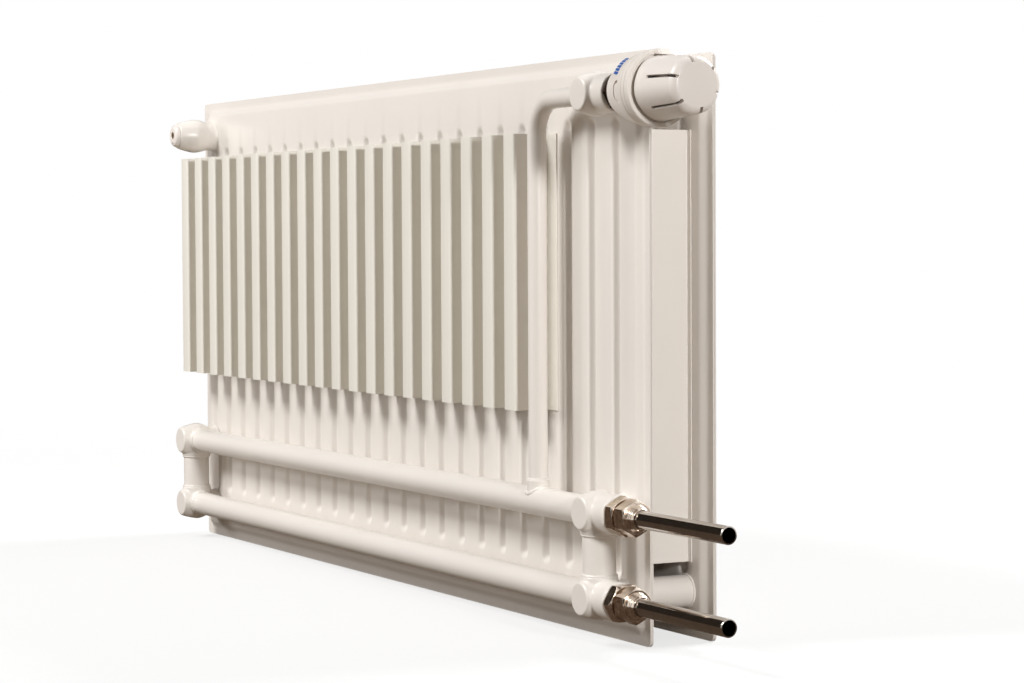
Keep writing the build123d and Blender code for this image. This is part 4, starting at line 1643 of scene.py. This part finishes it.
    def cap(self) -> None:
        """Makes the turning cap with its lobes and slots."""
        turns = [360 * i / self.cap_sides for i in range(self.cap_sides)]
        waves = [math.cos(math.radians((turn - self.slot_turn) * self.slots)) + 1 for turn in turns]
        dips = list(zip(turns, (self.lobe * wave / 2 for wave in waves)))
        rings = []
        for along, radius, share in self.cap_outline():
            around = dips if radius else dips[:1]
            rings.append([self.axis.at(along, radius - share * dip, turn) for turn, dip in around])
        shell = skin("head_cap_shell", rings, True, self.cap_sharp)
        cap = cut_away(shell, self.slot_cutter(), "head_turning_cap")
        fit(cap, CAP_PLASTIC, "head_cap", body=Body.CAP)

    def slot_cutter(self) -> Piece:
        """The cap's slots as bars with rounded ends.

        Returns:
            The bars as one cutter.
        """
        half, bars = self.slot_width / 2, []
        start, end = self.slot_start + half, self.cap_end + self.slot_run_out
        turns = [math.pi * i / self.slot_steps for i in range(self.slot_steps + 1)]
        outline = [(start - half * math.sin(turn), half * math.cos(turn)) for turn in turns]
        outline += [(end, -half), (end, half)]
        for slot in range(self.slots):
            out = self.axis.way(self.slot_turn + 360 * slot / self.slots)
            across = out.cross(self.axis.along)
            rings = [
                [self.axis.at(along) + across * side + out * radius for along, side in outline]
                for radius in (self.slot_floor, self.flange_radius)
            ]
            bars.append(skin(f"slot_{slot}", rings))
        return joined("cap_slots", bars)

    def build(self) -> None:
        """Makes the head."""
        self.base()
        self.scale_marks()
        self.lug()
        self.ring()
        self.cap()


@dataclass(frozen=True)
class AirVent:
    """Domed bleed plug with its key pocket and spout, and the square bleed screw."""

    layout: Layout
    seat: float = 16.0
    head: float = 4.3
    radius: float = 10.3
    dome: float = 4.0
    edge: float = 0.3
    thread_radius: float = 6.2
    thread_length: float = 8.0
    pocket_radius: float = 3.3
    pocket_depth: float = 2.6
    screw_radius: float = 2.6
    screw_square: float = 4.0
    screw_round: float = 0.25
    screw_start: float = 11.5
    square_length: float = 2.0
    running_fit: float = 0.08
    spout_radius: float = 1.2
    spout_drop: float = 6.8
    spout_run_out: float = 2.0
    dome_steps: int = 8
    spout_sides: int = 24
    stem_sides: int = 48

    @property
    def axis(self) -> Place:
        """The vent's axis."""
        return self.layout.wallward(self.layout.vent_x, self.layout.vent_z)

    def plug(self) -> None:
        """Makes the plug."""
        place, seat, edge, dome = self.axis, self.seat, self.edge, self.dome
        top = seat + self.head
        floor, tail = top - self.pocket_depth, seat - self.thread_length
        bore = self.screw_radius + self.running_fit
        profile = [(self.screw_start, bore), (tail, bore)]
        profile += [(tail, self.thread_radius), (seat, self.thread_radius)]
        profile += [(seat, self.radius - edge), (seat + edge, self.radius)]
        for step in range(self.dome_steps + 1):
            turn = math.pi / 2 * step / self.dome_steps
            along, out = dome * math.sin(turn), dome * math.cos(turn)
            profile.append((top - dome + along, self.radius - dome + out))
        profile += [(top, self.pocket_radius + edge), (top - edge, self.pocket_radius)]
        profile += [(floor, self.pocket_radius), (floor, bore)]
        plug = revolve("vent_plug_dome", profile, place)
        spout = Place(place.at(0, self.spout_drop, -90), place.along, place.side)
        end, radius = top + self.spout_run_out, self.spout_radius
        hole = [(floor, 0), (floor, radius), (end, radius), (end, 0)]
        cutter = revolve("vent_spout", hole, spout, self.spout_sides)
        fit(cut_away(plug, cutter, "vent_plug_dome"), VENT_PLASTIC, "bleed_plug")

    def screw(self) -> None:
        """Makes the bleed screw with its square end."""
        place, half, radius = self.axis, self.screw_square / 2, self.screw_radius
        start = self.seat + self.head - self.pocket_depth + self.running_fit
        corners = [Vector((x, 0, z)) for x, z in rectangle((-half, -half), (half, half))]
        ends = (start, start + self.square_length)
        rings = [[place.at(along) + corner for corner in corners] for along in ends]
        stem = [(self.screw_start, 0), (self.screw_start, radius), (start, radius), (start, 0)]
        square = skin("bleed_screw_square", rings)
        parts = [square, revolve("bleed_screw_stem", stem, place, self.stem_sides)]
        screw = rounded_edges(joined("bleed_key_screw", parts), self.screw_round, degrees=30)
        fit(screw, BRASS, "bleed_screw", body=Body.BLEED)

    def build(self) -> None:
        """Makes the vent."""
        self.plug()
        self.screw()


@dataclass(frozen=True)
class InnerWorks:
    """Frame nodes that keep their own shape and only take a finish."""

    finishes: tuple[tuple[Finish, tuple[str, ...]], ...] = (
        (RUBBER, ("union_seal_supply", "union_seal_return", "valve_washer")),
        (BRASS, ("olive_supply", "olive_return")),
        # This dark nickel is partly painted shade, for the gap between the valve body and the bell.
        (NICKEL_DARKENED_AS_SHADE, ("valve_insert", "gland_nut", "head_nut")),
        (STEEL, ("valve_spindle", "push_rod")),
        (CAPSULE_METAL, ("sensor_capsule",)),
    )

    def build(self) -> None:
        """Dresses the nodes."""
        for finish, nodes in self.finishes:
            for node in nodes:
                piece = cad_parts[node]
                if not piece.data.materials:
                    piece.data.materials.append(None)
                for slot in piece.material_slots:
                    slot.material = material_of(finish)
                log.info("%s keeps its shape", node)


# The studio


@dataclass(frozen=True)
class Studio:
    """A pale floor, soft lamps and the camera at the photograph's angle."""

    floor_reach: float = 7.0
    floor_z: float = -0.0003
    floor_tone: Colour = (0.2, 0.16, 0.12)
    floor_white: float = 0.95
    floor_glow: float = 0.7
    floor_fade: tuple[float, float] = (0.5, 1.8)
    air_tone: Colour = (1.0, 0.92, 0.8)
    air_light: float = 0.09
    dark: Colour = (0.035, 0.027, 0.021)
    table: Colour = (0.1, 0.07, 0.05)
    ceiling: Colour = (0.3, 0.26, 0.22)
    aim_height: float = 0.2
    lamp_distance: float = 3.0
    side_card_x: float = 3.4
    side_card: Profile = ((-2.2, 0.0), (3.4, 2.8))
    behind_card_turns: tuple[float, float] = (38, 84)
    behind_card_distance: float = 3.6
    behind_card_height: float = 1.1
    above_card_z: float = 3.2
    above_card: Profile = ((-2.6, 0.0), (3.4, 3.4))
    floor_card_z: float = 0.0001
    floor_card: Profile = ((-3.2, -0.6), (3.4, 3.4))
    camera_place: Colour = (-1.8334025, 0.9113247, 0.2772331)
    camera_right: Colour = (-0.47218921, -0.8814828, -0.00504289)
    camera_up: Colour = (0.03339384, -0.02360441, 0.99916349)
    focal_pixels: float = 2622.866
    image_width: int = 1024
    sensor: float = 36.0

    @property
    def aim(self) -> Vector:
        """The object's middle, in metres."""
        return Vector((0.0, 0.0, self.aim_height))

    def seen_rays(self, bench: NodeBench) -> Socket:
        """One where a ray comes from the camera, a mirror or glass, and nought elsewhere.

        Args:
            bench: Where its nodes go.

        Returns:
            The value's socket.
        """
        ray = bench.add("LightPath", {}).outputs
        seen = ray["Is Camera Ray"]
        for other in ("Is Glossy Ray", "Is Transmission Ray"):
            seen = bench.add("Math", {0: seen, 1: ray[other]}, operation="MAXIMUM").outputs[0]
        return seen

    def sheet(
        self, name: str, corners: Iterable[Sequence[float]]
    ) -> tuple[Piece, bpy.types.Material]:
        """A flat sheet of studio equipment with an undressed material.

        Args:
            name: Its name.
            corners: Its corners, in metres.

        Returns:
            The sheet and its material.
        """
        mesh = bmesh.new()
        mesh.faces.new([mesh.verts.new(corner) for corner in corners])
        piece = publish(mesh, name)
        material = bpy.data.materials.new(name)
        piece.data.materials.append(material)
        return piece, material

    def floor(self) -> None:
        """Makes the floor, which shows white and keeps a soft shadow."""
        reach, white = self.floor_reach, (self.floor_white,) * 3
        corners = rectangle((-reach, -reach), (reach, reach))
        floor, material = self.sheet("studio_floor", [(x, y, self.floor_z) for x, y in corners])
        bench = NodeBench(material)
        seen = self.seen_rays(bench)
        tones = {"Factor": seen, "A": (*self.floor_tone, 1.0), "B": (*white, 1.0)}
        tone = bench.add("Mix", tones, data_type="RGBA").outputs["Result"]
        bench.wire(bench.shader, {"Roughness": 0.9, "Base Color": tone})
        place = bench.add("NewGeometry", {}).outputs["Position"]
        distance = bench.add("VectorMath", {0: place}, operation="LENGTH").outputs["Value"]
        near, far = self.floor_fade
        span = {"Value": distance, "From Min": near, "From Max": far}
        span |= {"To Min": self.floor_glow, "To Max": 1.0}
        fade = bench.add("MapRange", span, interpolation_type="SMOOTHSTEP").outputs["Result"]
        share = bench.add("Math", {0: seen, 1: fade}, operation="MULTIPLY").outputs[0]
        glow = bench.add("Emission", {"Color": (1.0,) * 4, "Strength": 1.0}).outputs[0]
        mix = bench.add("MixShader", {0: share, 1: bench.shader.outputs[0], 2: glow}).outputs[0]
        bench.wire(bench.tree.nodes["Material Output"], {"Surface": mix})

    def world(self) -> None:
        """Makes the world: white where it is seen or mirrored, softer as light."""
        world = bpy.data.worlds.new("studio")
        bpy.context.scene.world = world
        bench = NodeBench(world, True)
        tone = {"Color": (*self.air_tone, 1.0), "Strength": self.air_light}
        light = bench.add("Background", tone).outputs[0]
        white = bench.add("Background", {"Color": (1.0,) * 4, "Strength": 1.0}).outputs[0]
        mix = bench.add("MixShader", {0: self.seen_rays(bench), 1: light, 2: white}).outputs[0]
        bench.add("OutputWorld", {"Surface": mix})

    def towards(self, azimuth: float, elevation: float, distance: float) -> Vector:
        """A place seen from the object's middle.

        Args:
            azimuth: Degrees from the wall side towards the pipes' open end.
            elevation: Degrees above the floor.
            distance: Metres away.

        Returns:
            The place, in metres.
        """
        turn, rise = math.radians(azimuth), math.radians(elevation)
        level = math.cos(rise)
        way = Vector((-math.sin(turn) * level, math.cos(turn) * level, math.sin(rise)))
        return self.aim + way * distance

    def lamp(self, name: str, azimuth: float, elevation: float, size: float, power: float) -> Piece:
        """A soft square lamp aimed at the object's middle.

        Args:
            name: The lamp's name.
            azimuth: Degrees from the wall side towards the pipes' open end.
            elevation: Degrees above the floor.
            size: Its side in metres.
            power: Its power in watts.

        Returns:
            The lamp.
        """
        data = bpy.data.lights.new(name, "AREA")
        data.shape, data.size, data.energy = "SQUARE", size, power
        lamp = linked(name, data)
        lamp.location = self.towards(azimuth, elevation, self.lamp_distance)
        way = self.aim - lamp.location
        lamp.rotation_euler = way.to_track_quat("-Z", "Y").to_euler()
        lamp.visible_camera = False
        return lamp

    def lamps(self) -> None:
        """Sets up the lamps."""
        self.lamp("key", -13, 42, 0.9, 70.0)
        self.lamp("low_far", -45, 12, 0.7, 30.0).visible_glossy = False
        self.lamp("low_near", 86, 12, 0.25, 44.0)
        self.lamp("room", 180, 40, 1.2, 80.0)

    def card(self, name: str, corners: Iterable[Sequence[float]], colour: Colour) -> None:
        """A flag card that only polished metal and gloss mirror.

        Args:
            name: The card's name.
            corners: Its corners, in metres.
            colour: How bright it looks.
        """
        card, material = self.sheet(name, corners)
        bench = NodeBench(material, True)
        glow = bench.add("Emission", {"Color": (*colour, 1.0)}).outputs[0]
        bench.add("OutputMaterial", {"Surface": glow})
        for ray in ("camera", "diffuse", "shadow", "transmission"):
            setattr(card, f"visible_{ray}", False)

    def cards(self) -> None:
        """Sets cards round the set, as chrome is photographed."""
        side = [(self.side_card_x, y, z) for y, z in rectangle(*self.side_card)]
        self.card("card_side", side, self.dark)
        distance = self.behind_card_distance
        behind = [self.towards(turn, 0, distance) for turn in self.behind_card_turns]
        top = [place + UP * self.behind_card_height for place in reversed(behind)]
        self.card("card_behind", [*behind, *top], self.dark)
        above = [(x, y, self.above_card_z) for x, y in rectangle(*self.above_card)]
        self.card("card_above", above, self.ceiling)
        floor = [(x, y, self.floor_card_z) for x, y in rectangle(*self.floor_card)]
        self.card("card_floor", floor, self.table)

    def camera(self) -> None:
        """Sets the camera where the photograph was taken."""
        data = bpy.data.cameras.new("camera")
        data.sensor_width, data.clip_end = self.sensor, 50.0
        data.lens = self.focal_pixels / self.image_width * self.sensor
        camera = linked("camera", data)
        right, up = Vector(self.camera_right), Vector(self.camera_up)
        turn = Matrix((right, up, right.cross(up))).transposed()
        camera.matrix_world = Matrix.Translation(self.camera_place) @ turn.to_4x4()
        bpy.context.scene.camera = camera

    def build(self) -> None:
        """Makes the studio."""
        bpy.context.scene.view_settings.view_transform = "Standard"
        self.floor()
        self.world()
        self.lamps()
        self.cards()
        self.camera()


def main() -> None:
    """Builds the looks in order."""
    logging.basicConfig(level=logging.INFO, format="%(name)s: %(message)s")
    here = Layout.from_frame()
    panels = PressedPanels(here)
    rear = (here.rear_seam_y, panels.rear_inset, here.wall_fins)
    front = (here.front_seam_y, panels.front_inset, here.gap_fins)
    for part in (
        panels,
        # The wall convector's greener enamel is a painted shade tint.
        Convector(
            "wall_convector", FIN_ENAMEL_SHADE_TINT, panels, *rear, fins=20, depth=26.6, end_foot=15.3
        ),
        Convector("gap_convector", ENAMEL, panels, *front, fins=23, depth=30.0, end_foot=4.0),
        PipeRun(here),
        CompressionUnion(here, "supply", here.upper_header_z, body_turn=30.0, nut_turn=30.0),
        CompressionUnion(here, "return", here.lower_header_z, body_turn=0.0, nut_turn=30.0),
        ThermostaticHead(here),
        AirVent(here),
        InnerWorks(),
        Studio(),
    ):
        part.build()


if __name__ == "__main__":
    main()
